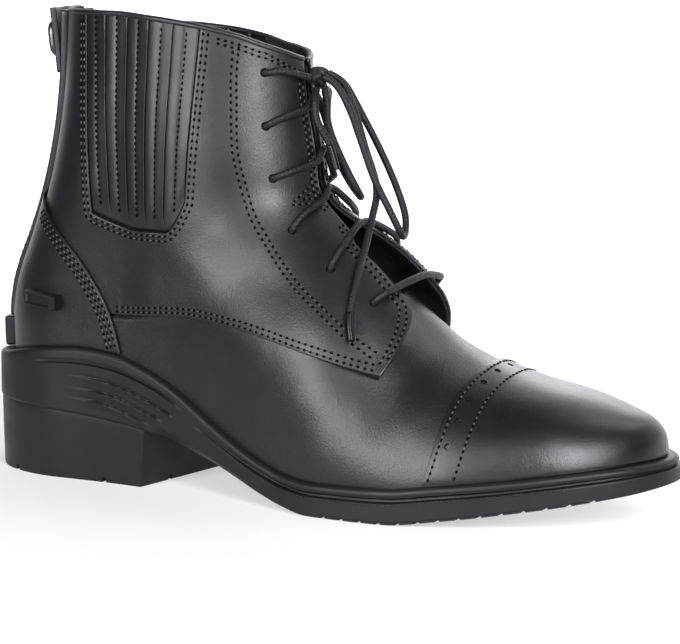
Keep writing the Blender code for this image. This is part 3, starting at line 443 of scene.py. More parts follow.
def gore_x(share, z):
    """x at a share of the way across a gore."""
    rear, front = [x + move * (z - GORE_FOOT_Z) / GORE_HEIGHT for x, move in zip(GORE_X, GORE_SPREAD)]
    return rear + share * (front - rear)


def gore_low(share):
    """Lower edge of a gore: a slight slope behind, a round corner before."""
    rear, front = np.maximum(0.0, 1.0 - share / 0.45), np.maximum(0.0, (share - 0.8) / 0.2)
    return GORE_LOW_Z + 5.5 * np.minimum(rear, 1.0) ** 1.3 + 12.0 * np.minimum(front, 1.0) ** 2


def raise_at(x, z, side=LATERAL):
    """How far a quarter's outside stands proud of the vamp: its thickness, and the lift of its flap."""
    lift = rise(z, 120.0, 84.0) * rise(x + 0.72 * z, 190.0, 235.0)
    least, most = MEDIAL_LIFT
    lift = lift * (FLAP_LIFT if side < 0 else least + (most - least) * rise(z - seam_z(x), 0.0, 16.0))
    return QUARTER_OUT * rise(x, *OVERLAP_X) + lift + furrows(x, z, QUARTER_FOLDS)


BEHIND, ACROSS, BEFORE, BELOW, ABOVE = 22, 28, 46, 30, 44


def quarter_grid(side):
    """x and z of a quarter's grid, with lines along the seam, the gore, the facing and the collar."""
    column = np.arange(BEHIND + ACROSS + BEFORE + 1)
    row = np.arange(BELOW + ABOVE + 1)[:, None]
    to_gore = np.clip(column / BEHIND, 0.0, 1.0) ** 1.7
    in_gore = np.clip((column - BEHIND) / ACROSS, 0.0, 1.0)
    past = 1.0 - (1.0 - np.clip((column - BEHIND - ACROSS) / BEFORE, 0.0, 1.0)) ** 1.35
    low = np.clip(row / BELOW, 0.0, 1.0)
    high = np.clip((row - BELOW) / ABOVE, 0.0, 1.0)
    z = 66.0 + 35.0 * low + 80.0 * high + 0.0 * past
    for turn in range(16):
        rear, front = gore_x(0.0, z), gore_x(1.0, z)
        x = back_x(z) + to_gore * (rear - back_x(z)) + in_gore * (front - rear)
        x = x + past * (facing_x(z, side) - front)
        middle = gore_low(in_gore + 0.0 * z)
        seam, collar = seam_z(x), collar_at(x, side)
        z = 0.4 * z + 0.6 * (seam + low * (middle - seam) + high * (collar - middle))
    x[:, 0] = back_x(z[:, 0])
    return x, z


def quarter_sheet(side, out):
    """Points of a quarter at a distance from its outside, and the faces around the gore's opening."""
    x, z = quarter_grid(side)
    middle = np.zeros(x.shape, bool)
    middle[:, 0] = True
    rows = skin(x, z, side, raise_at(x, z, side) + out, middle)
    faces = grid_faces(*x.shape, side)
    r, c = np.divmod(np.arange(len(faces)), x.shape[1] - 1)
    return rows, faces[~((r >= BELOW) & (c >= BEHIND) & (c < BEHIND + ACROSS))]


LINING, tree, shader, place = new_look("lining_leather", (0.01, 0.01, 0.011), 0.75)
stain = tinted(tree, cloudy(tree, place, 160.0), (0.008, 0.008, 0.009), (0.014, 0.014, 0.015))
set_inputs(shader, (
    ("Base Color", stain), ("Normal", bumped(tree, cloudy(tree, place, 900.0, 3.0), 0.08)),
    ("Specular IOR Level", 0.2)))
QUARTER_LEATHER = leather("quarter_leather", 0.02, 1.0)
#  level of the facing, distance in from the front outline
EYELETS = ((0.125, 7.6), (0.30, 10.0), (0.475, 10.0), (0.605, 10.0), (0.775, 10.0), (0.93, 8.8))
EYELET_RADIUS = 1.8


def on_leather(x, z, side, out):
    """Points at a distance from the last, and the direction outward there."""
    x, z = [np.atleast_1d(np.asarray(i, float)) for i in np.broadcast_arrays(x, z)]
    step = 0.3
    half = half_width(x, z, side)
    slope_x = (half_width(x + step, z, side) ** 2 - half_width(x - step, z, side) ** 2) / (4.0 * step)
    slope_z = (half_width(x, z + step, side) ** 2 - half_width(x, z - step, side) ** 2) / (4.0 * step)
    outward = np.stack([-slope_x, side * half, -slope_z], -1)
    outward /= np.linalg.norm(outward, axis=-1, keepdims=True)
    base = np.stack([x, centre_y(x) + side * half, z], -1)
    return base + outward * np.broadcast_to(out, x.shape)[..., None], outward


def punch(places, radius, depth, sides=16):
    """Closed pegs along directions, to cut holes with. places holds pairs of a point and a direction."""
    points, faces = [], []
    turn = np.linspace(0.0, 2.0 * math.pi, sides, endpoint=False)[:, None]
    for middle, outward in places:
        across = Vector(outward).orthogonal().normalized()
        up = Vector(outward).cross(across)
        ring = radius * (np.cos(turn) * np.array(across) + np.sin(turn) * np.array(up)) + middle
        n = len(points) * 2 * sides
        points.append(np.concatenate([ring - np.array(outward) * depth, ring + np.array(outward) * depth]))
        for i in range(sides):
            k = (i + 1) % sides
            faces.append([n + i, n + k, n + sides + k, n + sides + i])
        faces += [[n + i for i in range(sides)][::-1], [n + sides + i for i in range(sides)]]
    return built("punch", np.concatenate(points), faces, QUARTER_LEATHER)


def creased(made, degrees):
    """Shades the edges that turn by more than an angle as sharp ones."""
    made.data.set_sharp_from_angle(angle=math.radians(degrees))
    return made


def cut(made, tool):
    boolean = made.modifiers.new("cut", "BOOLEAN")
    boolean.operation = "DIFFERENCE"
    boolean.solver = "EXACT"
    boolean.object = tool
    settled(made)
    bpy.data.objects.remove(tool)
    return creased(made, 38.0)


def route_points(route, step=1.0):
    """Points at an even step along a smooth curve through a route."""
    points = np.array([tuple(point) for point in route], float)
    length = lengths(points)
    found = []
    for at in np.linspace(0.0, length[-1], int(length[-1] / step) + 2):
        i = min(max(int(np.searchsorted(length, at)) - 1, 0), len(points) - 2)
        start, end = points[i], points[i + 1]
        before, after = points[max(i - 1, 0)], points[min(i + 2, len(points) - 1)]
        u = (at - length[i]) / (length[i + 1] - length[i])
        square = (2.0 * before - 5.0 * start + 4.0 * end - after) * u ** 2
        cube = (3.0 * start - before - 3.0 * end + after) * u ** 3
        found.append(0.5 * (2.0 * start + (end - before) * u + square + cube))
    return np.array(found)


def stitch_tree():
    """Node group that lays one stitch at each point, along the point's ahead and outward directions."""
    group = bpy.data.node_groups.new("stitch_row", "GeometryNodeTree")
    group.interface.new_socket("Geometry", in_out="INPUT", socket_type="NodeSocketGeometry")
    for name in ("Stitch Length", "Stitch Width"):
        group.interface.new_socket(name, in_out="INPUT", socket_type="NodeSocketFloat")
    group.interface.new_socket("Thread", in_out="INPUT", socket_type="NodeSocketMaterial")
    group.interface.new_socket("Geometry", in_out="OUTPUT", socket_type="NodeSocketGeometry")
    given = add_node(group, "NodeGroupInput").outputs
    ball = add_node(group, "GeometryNodeMeshUVSphere", (("Segments", 6), ("Rings", 4), ("Radius", 0.5)))
    size = add_node(group, "ShaderNodeCombineXYZ", (
        ("X", given["Stitch Length"]), ("Y", given["Stitch Width"]), ("Z", given["Stitch Width"])))
    stitch = add_node(group, "GeometryNodeTransform", (
        ("Geometry", ball.outputs[0]), ("Scale", size.outputs[0])))
    stitch = add_node(group, "GeometryNodeSetShadeSmooth", (("Geometry", stitch.outputs[0]),))
    turned = None
    for name, axis, pivot in (("ahead", "X", "AUTO"), ("outward", "Z", "X")):
        found = add_node(
            group, "GeometryNodeInputNamedAttribute", (("Name", name),), data_type="FLOAT_VECTOR")
        inputs = [("Vector", found.outputs["Attribute"])] + ([("Rotation", turned)] if turned else [])
        turned = add_node(
            group, "FunctionNodeAlignRotationToVector", inputs, axis=axis, pivot_axis=pivot).outputs[0]
    laid = add_node(group, "GeometryNodeInstanceOnPoints", (
        ("Points", given["Geometry"]), ("Instance", stitch.outputs[0]), ("Rotation", turned)))
    real = add_node(group, "GeometryNodeRealizeInstances", (("Geometry", laid.outputs[0]),))
    finished = add_node(group, "GeometryNodeSetMaterial", (
        ("Geometry", real.outputs[0]), ("Material", given["Thread"])))
    add_node(group, "NodeGroupOutput", (("Geometry", finished.outputs[0]),))
    return group


def patchy_look(name, colour, scale, low, high, shine=0.5, detail=2.0):
    """Material whose roughness runs from low to high in soft patches."""
    look, tree, shader, place = new_look(name, colour, low)
    patches = spread(tree, cloudy(tree, place, scale, detail), low, high)
    set_inputs(shader, (("Roughness", patches), ("Specular IOR Level", shine)))
    return look, tree, shader, place


STITCHES = stitch_tree()
THREAD = patchy_look("waxed_thread", (0.022, 0.022, 0.024), 700.0, 0.4, 0.6)[0]
# near-black, matte dots that paint the shade inside the needle holes
NEEDLE_HOLE_SHADE = patchy_look("needle_hole_painted_shade", (0.0012, 0.0012, 0.0014), 700.0, 0.8, 1.0, 0.05)[0]
#   length and width of the thread between two holes, and of the painted shade in a hole
THREAD_SIZE, HOLE_SHADE_SIZE = (1.8, 0.8), (1.6, 1.25)


def stitches(name, rows, size, look, slot="waxed_cord"):
    """One piece of stitches, from rows of points with their ahead and outward directions."""
    points, ahead, outward = [np.concatenate([row[i] for row in rows]) for i in range(3)]
    mesh = bpy.data.meshes.new(name)
    mesh.from_pydata(metres(points), [], [])
    for key, values in (("ahead", ahead), ("outward", outward)):
        attribute = mesh.attributes.new(key, "FLOAT_VECTOR", "POINT")
        attribute.data.foreach_set("vector", values.astype(np.float32).ravel())
    made = placed(name, mesh)
    modifier = made.modifiers.new("stitches", "NODES")
    modifier.node_group = STITCHES
    values = {"Stitch Length": size[0] / 1000.0, "Stitch Width": size[1] / 1000.0, "Thread": look}
    for item in STITCHES.interface.items_tree:
        if item.in_out == "INPUT" and item.name in values:
            modifier[item.identifier] = values[item.name]
    return dressed(settled(made), slot)


def sewn(name, rows):
    """A seam: near-black dots of painted shade in the needle's holes, and the thread that shows from each
    hole to the next.
    """
    stitches(name + "_holes", rows, HOLE_SHADE_SIZE, NEEDLE_HOLE_SHADE)
    between = [tuple(0.5 * (part[1:] + part[:-1]) for part in row) for row in rows]
    stitches(name + "_thread", between, THREAD_SIZE, THREAD)


def seam_row(x, z, side, out, pitch=STITCH_PITCH):
    """Places of the stitches along a line of the side view. out() is how far the sewn leather stands off."""
    length = lengths(on_leather(x, z, side, out(x, z))[0])
    at = np.arange(0.5 * pitch, length[-1], pitch)
    x, z = np.interp(at, length, x), np.interp(at, length, z)
    points, outward = on_leather(x, z, side, out(x, z) - 0.15)
    return points, np.gradient(points, axis=0), outward


def beside(x, z, distance):
    """A line of the side view moved to its left."""
    run_x, run_z = np.gradient(x), np.gradient(z)
    size = np.hypot(run_x, run_z)
    return x - distance * run_z / size, z + distance * run_x / size


def gore_line(side):
    """The edge of a gore's opening: down from the collar behind it, round its foot and up before it."""
    share = np.linspace(0.0, 1.0, 60)
    rear = np.linspace(collar_at(56.0, side) - 3.0, gore_low(0.0) + 1.0, 40)
    front = np.linspace(gore_low(1.0) + 1.0, collar_at(106.0, side) - 3.0, 40)
    z = np.concatenate([rear, gore_low(share), front])
    share = np.concatenate([np.zeros(40), share, np.ones(40)])
    line = route_points(np.stack([gore_x(share, z), z], -1), 0.8)
    return line[:, 0], line[:, 1]


#  z, x of the sewn edge of the eyestay, from the flap's foot up to the collar
EYESTAY = (
    (57.5, 181.5), (65.7, 169.9), (75.1, 158), (83.1, 147.4), (91.9, 138.1), (100.3, 131.2), (109.4, 125.4),
    (122.9, 121.3), (134.2, 118.9), (150.7, 117.7), (161.1, 117.2), (176, 117.8),
)
eyestay_x = curve(EYESTAY, 1)
#  distances of a double row from the edge that it follows
SEAM_ROWS = (1.2, 3.0)
#  where the rows start and end: x along the vamp, levels and z along the facing and the flap's front
SEAM_X, FLAP_SEAM_Z = (67.0, 181.0), (69.0, 54.0)
FACING_LEVELS = {LATERAL: (0.41, 0.06), MEDIAL: (0.41, 0.16)}
#  the same for the rows round the facing's upper corner: x along the collar, levels down the facing
CORNER_X, CORNER_LEVELS = (109.5, 127.0), (0.92, 0.475)
#  x, z of the corners of each row of the tack where the eyestay bends
TACK_ROWS = (((140.6, 120.4), (136.2, 111.5), (143.6, 111.2)), ((140.8, 117.2), (139, 113.2), (143.2, 113)))


def quarter_rows(side):
    """Rows of stitches on one quarter."""
    def outside(x, z):
        return raise_at(x, z, side)

    rows = []
    x = np.linspace(SEAM_X[0], SEAM_X[1] - (FLAP_SHORTER if side > 0 else 0.0), 200)
    z = np.linspace(58.5, collar_at(118.0, side) - 4.5, 240)
    level = np.linspace(*FACING_LEVELS[side], 120)
    flap_z = np.linspace(*FLAP_SEAM_Z, 40)
    for near, tack in zip(SEAM_ROWS, TACK_ROWS):
        rows.append(seam_row(*beside(x, seam_z(x), near), side, outside))
        rows.append(seam_row(*beside(*gore_line(side), -near), side, outside))
        rows.append(seam_row(*beside(eyestay_x(z), z, near - SEAM_ROWS[0]), side, outside))
        edge = np.stack(facing_place(level, side, depth_at(facing_gap(level) + near)), -1)[::4]
        fore = np.stack([facing_x(flap_z, side) - near, flap_z], -1)[::4]
        facing = route_points(np.concatenate([edge, fore]), 0.8)
        top_x = np.linspace(*CORNER_X, 8)
        top = np.stack([top_x, collar_at(top_x, side) - 2.6 - near], -1)
        down = np.linspace(*CORNER_LEVELS, 14)
        down = np.stack(facing_place(down, side, depth_at(facing_gap(down) + near + 0.6)), -1)
        corner = route_points(np.concatenate([top, down]), 0.8)
        bend = np.concatenate([np.linspace(tack[i], tack[i + 1], 20) for i in (0, 1)])
        rows += [seam_row(*line.T, side, outside) for line in (facing, corner, bend)]
    return rows


for side, word in SIDES:
    rows, faces = quarter_sheet(side, 0.0)
    quarter = built("quarter_" + word, rows.reshape(-1, 3), faces, QUARTER_LEATHER)
    thickened(quarter, QUARTER_THICKNESS)
    holes = []
    for level, inset in EYELETS:
        x, z = facing_place(level, side, inset)
        point, outward = on_leather(x, z, side, raise_at(x, z, side))
        holes.append((point[0], outward[0]))
    dressed(cut(quarter, punch(holes, EYELET_RADIUS, 6.0)), "black_leather", "upper")
    sewn("quarter_seams_" + word, quarter_rows(side))
    rows, faces = quarter_sheet(side, -QUARTER_THICKNESS - 0.1)
    lining = built("lining_" + word, rows.reshape(-1, 3), faces, LINING)
    dressed(thickened(lining, LINING_THICKNESS), "dark_lining", "upper")

# Collar binding
# A narrow strip of the same calf that finishes the top of the boot. It is rolled over the upper edge of the
# quarters, the gores and the lining, and sewn down inside.


def tube(name, line, radius, look, sides=12):
    """Round cord along closely spaced points, closed at both ends, with a UV map along and around it."""
    run = np.gradient(line, axis=0)
    run /= np.linalg.norm(run, axis=1, keepdims=True)
    across = Vector(run[0]).orthogonal().normalized()
    turn = np.linspace(0.0, 2.0 * math.pi, sides, endpoint=False)[:, None]
    rings = []
    for point, ahead in zip(line, map(Vector, run)):
        across = (across - ahead * across.dot(ahead)).normalized()
        up = ahead.cross(across)
        rings.append(point + radius * (np.cos(turn) * np.array(across) + np.sin(turn) * np.array(up)))
    count = len(line)
    points = np.concatenate(rings + [line[:1], line[-1:]])
    faces, places = [], []
    along = lengths(line)
    for i in range(count - 1):
        for j in range(sides):
            k = (j + 1) % sides
            faces.append((i * sides + j, i * sides + k, (i + 1) * sides + k, (i + 1) * sides + j))
            low, high = j / sides, (j + 1) / sides
            places += [(along[i], low), (along[i], high), (along[i + 1], high), (along[i + 1], low)]
    for j in range(sides):
        k = (j + 1) % sides
        faces.append((count * sides, k, j))
        faces.append((count * sides + 1, (count - 1) * sides + j, (count - 1) * sides + k))
        places += [(0.0, 0.5)] * 3 + [(along[-1], 0.5)] * 3
    mesh = bpy.data.meshes.new(name)
    mesh.from_pydata(metres(points), [], faces)
    mesh.uv_layers.new(name="cord").data.foreach_set("uv", np.array(places, np.float32).ravel())
    return shown(name, mesh, look)


BINDING_RADIUS = 1.2
BINDING_LEATHER = leather("binding_leather", 0.0, 1.4)
edges = {side: quarter_sheet(side, -0.7)[0][-1] for side, word in SIDES}
line = np.concatenate([edges[LATERAL][::-1], edges[MEDIAL][1:]])
line[:, 2] -= 1.0
binding = tube("collar_binding", route_points(line[::2], 1.2), BINDING_RADIUS, BINDING_LEATHER, 10)
dressed(binding, "black_leather", "upper")

# Tongue
# A soft leather flap that keeps the lace off the foot. It is sewn to the vamp at the throat and bends round
# the instep below the facings.

#  level of the facing, half width
TONGUE_SECTIONS = ((-0.14, 12), (0, 17), (0.2, 21), (0.45, 21.6), (0.75, 20.2), (0.94, 18.4))
TONGUE_THICKNESS = 2.2
tongue_half = curve(TONGUE_SECTIONS, 1)


def panel(name, rows, side, look):
    """Mesh object from a grid of points, facing out on its side."""
    return built(name, rows.reshape(-1, 3), grid_faces(*rows.shape[:2], side), look)


level = np.linspace(-0.14, 0.94, 60)[:, None]
across = np.linspace(-1.0, 1.0, 41)[None, :] * tongue_half(level)
x, z = facing_place(level, LATERAL, 4.8 + depth_at(np.abs(across)))
rows = np.stack([x, across + centre_y(x), z], -1)
TONGUE_LEATHER = leather("tongue_leather", -0.12, 1.6)
tongue = panel("tongue_flap", rows, LATERAL, TONGUE_LEATHER)
dressed(thickened(tongue, TONGUE_THICKNESS), "black_leather", "tongue")

# Toe cap
# A second layer of calf over the toe, which ends at the rim of the sole. Its rear edge is sewn to the vamp in
# two rows, with a line of punched holes between them.

CAP_EDGE = ((8, 203.4), (17, 205.6), (23, 207.2), (34, 208.9), (45, 210.4), (54, 213.4), (70, 219))
CAP_OUT, CAP_THICKNESS = 1.5, 1.2
#  x near the cap's rear edge, to start from
CAP_NEAR_X = 212.0
CAP_ROWS, CAP_PITCH = (1.9, 10.4), 2.6
#  the holes' distance from the cap's edge, and from the ridge and the rim along their row
CAP_HOLES = {"row": 4.8, "first": {LATERAL: 8.4, MEDIAL: 2.4}, "last": 3.0, "pitch": 10.8, "radius": 1.3}
cap_x = curve(CAP_EDGE, 1)
#  x, under z, rim z, margin of the sole
SOLE_SECTIONS = (
    (-1, 28.6, 44.5, 8.8), (14, 28.8, 47, 7), (31, 28.2, 51, 4.6), (51, 26.8, 53, 3.5), (66, 25.4, 51.8, 3.2),
    (80, 23.6, 47.8, 3.2), (96, 20, 40.6, 3.2), (107, 16.4, 33.8, 3.2), (118, 12.8, 27, 3.3),
    (128, 9.2, 21.6, 3.4), (138, 5.4, 17, 3.5), (148, 2.2, 13.8, 3.6), (160, 0, 12.4, 3.7),
    (190, 0, 13.2, 3.8), (213, 3, 16, 4), (233, 6.2, 18.4, 4.4), (258, 10.4, 21.8, 4.8),
    (276, 14.2, 23.8, 6.4), (290, 18.4, 24.4, 7.2),
)
under_z, rim_z, sole_margin = [curve(SOLE_SECTIONS, i) for i in (1, 2, 3)]


def cap_sheet(side):
    share = 1.0 - np.linspace(1.0, 0.0, 64)[None, :] ** 2
    up = 1.0 - np.linspace(1.0, 0.0, 44)[:, None] ** 1.8
    x = CAP_NEAR_X + share * (TIP_X - CAP_NEAR_X) + 0.0 * up
    for turn in range(12):
        low = rim_z(x) + 0.8
        z = low + (ridge_z(x) - low) * up
        rear = cap_x(z)
        x = rear + share * (TIP_X - rear)
    x[:, -1] = TIP_X
    middle = np.zeros(x.shape, bool)
    middle[:, -1] = True
    middle[-1] = True
    return skin(x, z, side, np.full(x.shape, CAP_OUT), middle)


def cap_line(distance):
    """A line of the side view at a distance from the cap's rear edge, from the rim to the ridge."""
    down = np.linspace(1.0, 0.004, 160) ** 2.2
    x = np.full(160, CAP_NEAR_X + distance)
    for turn in range(12):
        low = rim_z(x) + 1.2
        z = ridge_z(x) - (ridge_z(x) - low) * down
        x = cap_x(z) + distance * 1.08
    return x, z


def cap_out(x, z):
    return np.full(np.shape(x), CAP_OUT)


CAP_LEATHER = leather("cap_leather", 0.06, 0.8)
cap = two_sided("cap_calf", cap_sheet, CAP_THICKNESS, CAP_LEATHER)
holes, rows = [], []
for side, word in SIDES:
    rows += [seam_row(*cap_line(distance), side, cap_out, CAP_PITCH) for distance in CAP_ROWS]
    x, z = cap_line(CAP_HOLES["row"])
    points, outward = on_leather(x, z, side, CAP_OUT)
    length = lengths(points)
    for at in np.arange(length[-1] - CAP_HOLES["first"][side], CAP_HOLES["last"], -CAP_HOLES["pitch"]):
        i = int(np.searchsorted(length, at))
        holes.append((points[i], outward[i]))
dressed(cut(cap, punch(holes, CAP_HOLES["radius"], 1.0, 14)), "black_leather", "toe_cap")
sewn("cap_seams", rows)

# Counters
# Calf stiffeners over the heel on each side of the back strip. Their front edges are sewn to the quarters in
# three rows, and their feet end at the rim of the sole.

COUNTER_EDGE = ((45, 72.5), (51.6, 70.5), (66, 66), (80, 58), (94, 47), (101.8, 38.6), (108, 30), (111, 24))
counter_x = curve(COUNTER_EDGE, 1)
COUNTER_TOP_Z = 111.0
COUNTER_ROWS, COUNTER_SEAM_Z = (1.5, 3.4, 5.3), (54.0, 106.5)
STRIP_HALF = 9.4


def strip_x(y, z):
    """x of the last's back at a distance from its middle."""
    foot = lateral_half(20.0)
    half = foot + (shaft_half(z) - foot) * rise(z, *SHAFT_Z)
    return back_x(z) + HEEL_ROUND * (1.0 - np.sqrt(1.0 - (y / half) ** 2))


def counter_sheet(side):
    share = np.linspace(0.0, 1.0, 44)[None, :] ** 1.5
    up = np.linspace(0.0, 1.0, 48)[:, None]
    x = 20.0 + 40.0 * share + 0.0 * up
    for turn in range(14):
        low = rim_z(x) + 0.8
        z = low + (COUNTER_TOP_Z - low) * up
        rear = strip_x(STRIP_HALF + 0.3, z)
        x = rear + share * np.maximum(counter_x(z) - rear, 0.2)
    return skin(x, z, side, np.full(x.shape, CAP_OUT))


COUNTER_LEATHER = leather("counter_leather", 0.04, 0.9)
for side, word in SIDES:
    counter = panel("counter_calf_" + word, counter_sheet(side), side, COUNTER_LEATHER)
    dressed(thickened(counter, CAP_THICKNESS, 0.4), "black_leather", "counter_" + word)
    z = np.linspace(*COUNTER_SEAM_Z, 160)
    sewn("counter_seams_" + word, [
        seam_row(*beside(counter_x(z), z, distance), side, cap_out) for distance in COUNTER_ROWS])

# Gores
# Elastic panels behind the U-shaped openings, faced with leather folded into upright pleats. Each pleat has a
# row of stitches down its middle, and the pleats spread toward the collar.

PLEATS, PLEAT_THICKNESS, PLEAT_PITCH, PLEAT_STITCH = 5, 1.2, 2.3, (1.6, 0.9)
#  how far the elastic lies below the outside of the quarters
GORE_SUNK = 0.9
#  share of a pleat's width, height
PLEAT = (
    (0, 0), (0.012, 0), (0.03, 0.5), (0.08, 0.66), (0.3, 0.62), (0.45, 0.6), (0.5, 0.42), (0.55, 0.6),
    (0.75, 0.7), (0.9, 0.84), (0.955, 0.92), (0.975, 0.8), (0.988, 0),
)
GORE_LEATHER = leather("gore_leather", 0.0, 0.9)
for side, word in SIDES:
    marks = [((pleat + along) / PLEATS, high) for pleat in range(PLEATS) for along, high in PLEAT]
    marks = np.array(marks + [(1.0, 0.0)])
    share = 0.5 + (marks[:, 0] - 0.5) * (1.0 - 0.5 / 41.0)
    up = np.linspace(0.0, 1.0, 40)[:, None]
    low = gore_low(share) + 0.35
    top = collar_at(gore_x(share, 186.0), side) - 0.4
    z = low + (top - low) * up
    x = gore_x(share, z)
    out = raise_at(x, z) - GORE_SUNK + marks[:, 1] * rise(z - low, 1.0, 11.0)
    gore = panel("pleats_" + word, skin(x, z, side, out), side, GORE_LEATHER)
    dressed(thickened(creased(gore, 40.0), PLEAT_THICKNESS, 0.0), "black_elastic", "gore_" + word)
    rows = []
    for pleat in range(PLEATS):
        middle = (pleat + 0.5) / PLEATS
        z = np.linspace(gore_low(middle) + 5.0, collar_at(gore_x(middle, 180.0), side) - 2.5, 100)
        rows.append(seam_row(gore_x(middle, z), z, side, lambda x, z: raise_at(x, z) - 0.2, PLEAT_PITCH))
    # each pleat's stitches are drawn only as near-black dots, painted shade of the thread sunk in its needle
    # holes
    stitches("pleat_stitches_painted_shade_" + word, rows, PLEAT_STITCH, NEEDLE_HOLE_SHADE)

# Back strip
# Two leather lips down the middle of the back, sewn on over a zip. The zip's metal chain shows between them,
# and its slider stays at the top, below the leather tab that closes over it.

ZIP_Z, ZIP_HALF, ZIP_OUT, TOOTH_DEPTH = (59.0, 182.4), 1.9, 1.7, 0.5
LIP_INNER, LIP_OUT = 2.2, 3.9
SLIDER_HALF, SLIDER_Z, SLIDER_OUT = 3.4, (147.6, 156.2), 5.2
TAB_HALF, TAB_Z, TAB_OUT, TAB_LEAN = 7.6, (157.2, 183.0), 5.6, 0.13
#  y, z of the corners of the seams on a lip and on the tab
LIP_SEAM = ((7.6, 60.5), (7.6, 156.0))
TAB_SEAM = ((-6.2, 158.8), (-6.2, 181.5), (6.2, 181.5), (6.2, 158.8), (-6.2, 158.8))
BACK_LEATHER = leather("back_leather", 0.02, 1.0)


def on_back(y, z, out):
    """Points at a distance from the back of the last, and the direction outward there."""
    step = 0.2
    slope_y = (strip_x(y + step, z) - strip_x(y - step, z)) / (2.0 * step)
    slope_z = (strip_x(y, z + step) - strip_x(y, z - step)) / (2.0 * step)
    outward = np.stack([-np.ones(np.shape(y)), slope_y, slope_z], -1)
    outward /= np.linalg.norm(outward, axis=-1, keepdims=True)
    return np.stack([strip_x(y, z), y, z], -1) + outward * np.asarray(out)[..., None], outward


def back_piece(name, ys, zs, out, thickness, edge, look, lean=0.0):
    """Plate on the back of the boot between two sides and two heights. lean moves it out on its way up."""
    y, z = np.meshgrid(np.linspace(*ys), np.linspace(*zs))
    rows = on_back(y, z, out + lean * (z - zs[0]))[0]
    return thickened(panel(name, rows, MEDIAL, look), thickness, edge)


def back_row(y, z, out, lean=0.0):
    """Places of the stitches along a line on a lip or the tab, a little below its outside."""
    length = lengths(np.stack([y, z], -1))
    at = np.arange(0.5 * STITCH_PITCH, length[-1], STITCH_PITCH)
    y, z = np.interp(at, length, y), np.interp(at, length, z)
    points, outward = on_back(y, z, out - 0.1 + lean * (z - TAB_Z[0]))
    return points, np.gradient(points, axis=0), outward


rows = []
for side, word in SIDES:
    ys = (*sorted((side * LIP_INNER, side * STRIP_HALF)), 12)
    lip = back_piece("lip_" + word, ys, (*ZIP_Z, 60), LIP_OUT, 3.6, 0.8, BACK_LEATHER)
    dressed(lip, "black_leather", "zip_lip_" + word)
    y, z = np.array(LIP_SEAM).T
    rows.append(back_row(side * y, z, LIP_OUT))
METAL, tree, shader, place = patchy_look("zip_metal", (0.10, 0.10, 0.105), 260.0, 0.24, 0.42, detail=3.0)
shader.inputs["Metallic"].default_value = 1.0
y, z = np.meshgrid(np.linspace(-ZIP_HALF, ZIP_HALF, 6), np.linspace(*ZIP_Z, 125))
points = on_back(y, z, ZIP_OUT)[0]
points[1::2, 1:-1, 0] += TOOTH_DEPTH
chain = panel("zip_teeth", points, MEDIAL, METAL)
dressed(thickened(chain, 1.3, 0.1), "dark_metal", "zip_chain")
ys = (-SLIDER_HALF, SLIDER_HALF, 12)
slider = back_piece("slider_body", ys, (*SLIDER_Z, 12), SLIDER_OUT, 2.3, 0.7, METAL)
dressed(slider, "dark_metal", "zip_slider")
ys = (-TAB_HALF, TAB_HALF, 20)
tab = back_piece("tab_leather", ys, (*TAB_Z, 26), TAB_OUT, 2.6, 0.5, BACK_LEATHER, TAB_LEAN)
dressed(tab, "black_leather", "snap_tab")
rows.append(back_row(*np.array(TAB_SEAM).T, TAB_OUT, TAB_LEAN))
sewn("back_seams", rows)

# Press stud and spur rests
# A flat metal stud with rounded corners is riveted to the tab. The rests are rubber bars that hold up a
# spur's strap: a plain ledge behind the heel, and on each counter a bar with a raised rim that stands out
# most at its front end.

STUD_Z, STUD_OUT, STUD_HALF = 170.6, 7.6, (6.2, 7.2)
#  share of the stud's half width, height
STUD_SIDE = ((0.01, 2.8), (0.7, 2.8), (0.82, 2.7), (0.9, 3), (0.97, 2.8), (1, 2.2), (1, 0), (0.01, 0))
LEDGE_Z, LEDGE_OUT = (47.2, 58.6), 6.4
#  x, z of the middle of a side bar, and half its length and height
BAR_MIDDLE, BAR_HALF = (34.6, 70.4), (8.8, 2.9)
#  length of the bar's round rear end
BAR_ROUND = 2.8
turn = np.linspace(0.0, 2.0 * math.pi, 49)[None, :]
across, upright = [np.sign(wave) * np.abs(wave) ** 0.65 for wave in (np.cos(turn), np.sin(turn))]
reach, proud = [column[:, None] for column in np.array(STUD_SIDE).T]
y, z = STUD_HALF[0] * reach * across, STUD_HALF[1] * reach * upright
x = back_x(STUD_Z) - STUD_OUT - proud - 0.12 * z
rows = np.stack(np.broadcast_arrays(x, y, STUD_Z + z), -1)
dressed(panel("press_stud", rows, LATERAL, METAL), "dark_metal", "snap")
RUBBER, tree, shader, place = patchy_look(
    "moulded_rubber", (0.0045, 0.0045, 0.0055), 90.0, 0.42, 0.56, 0.24, 4.0)
set_inputs(shader, (("Normal", bumped(tree, cloudy(tree, place, 2600.0), 0.025)),))
ys = (-STRIP_HALF, STRIP_HALF, 24)
ledge = back_piece("heel_ledge", ys, (*LEDGE_Z, 14), LEDGE_OUT, 6.0, 1.2, RUBBER)
dressed(ledge, "black_rubber", "spur_rest_back")
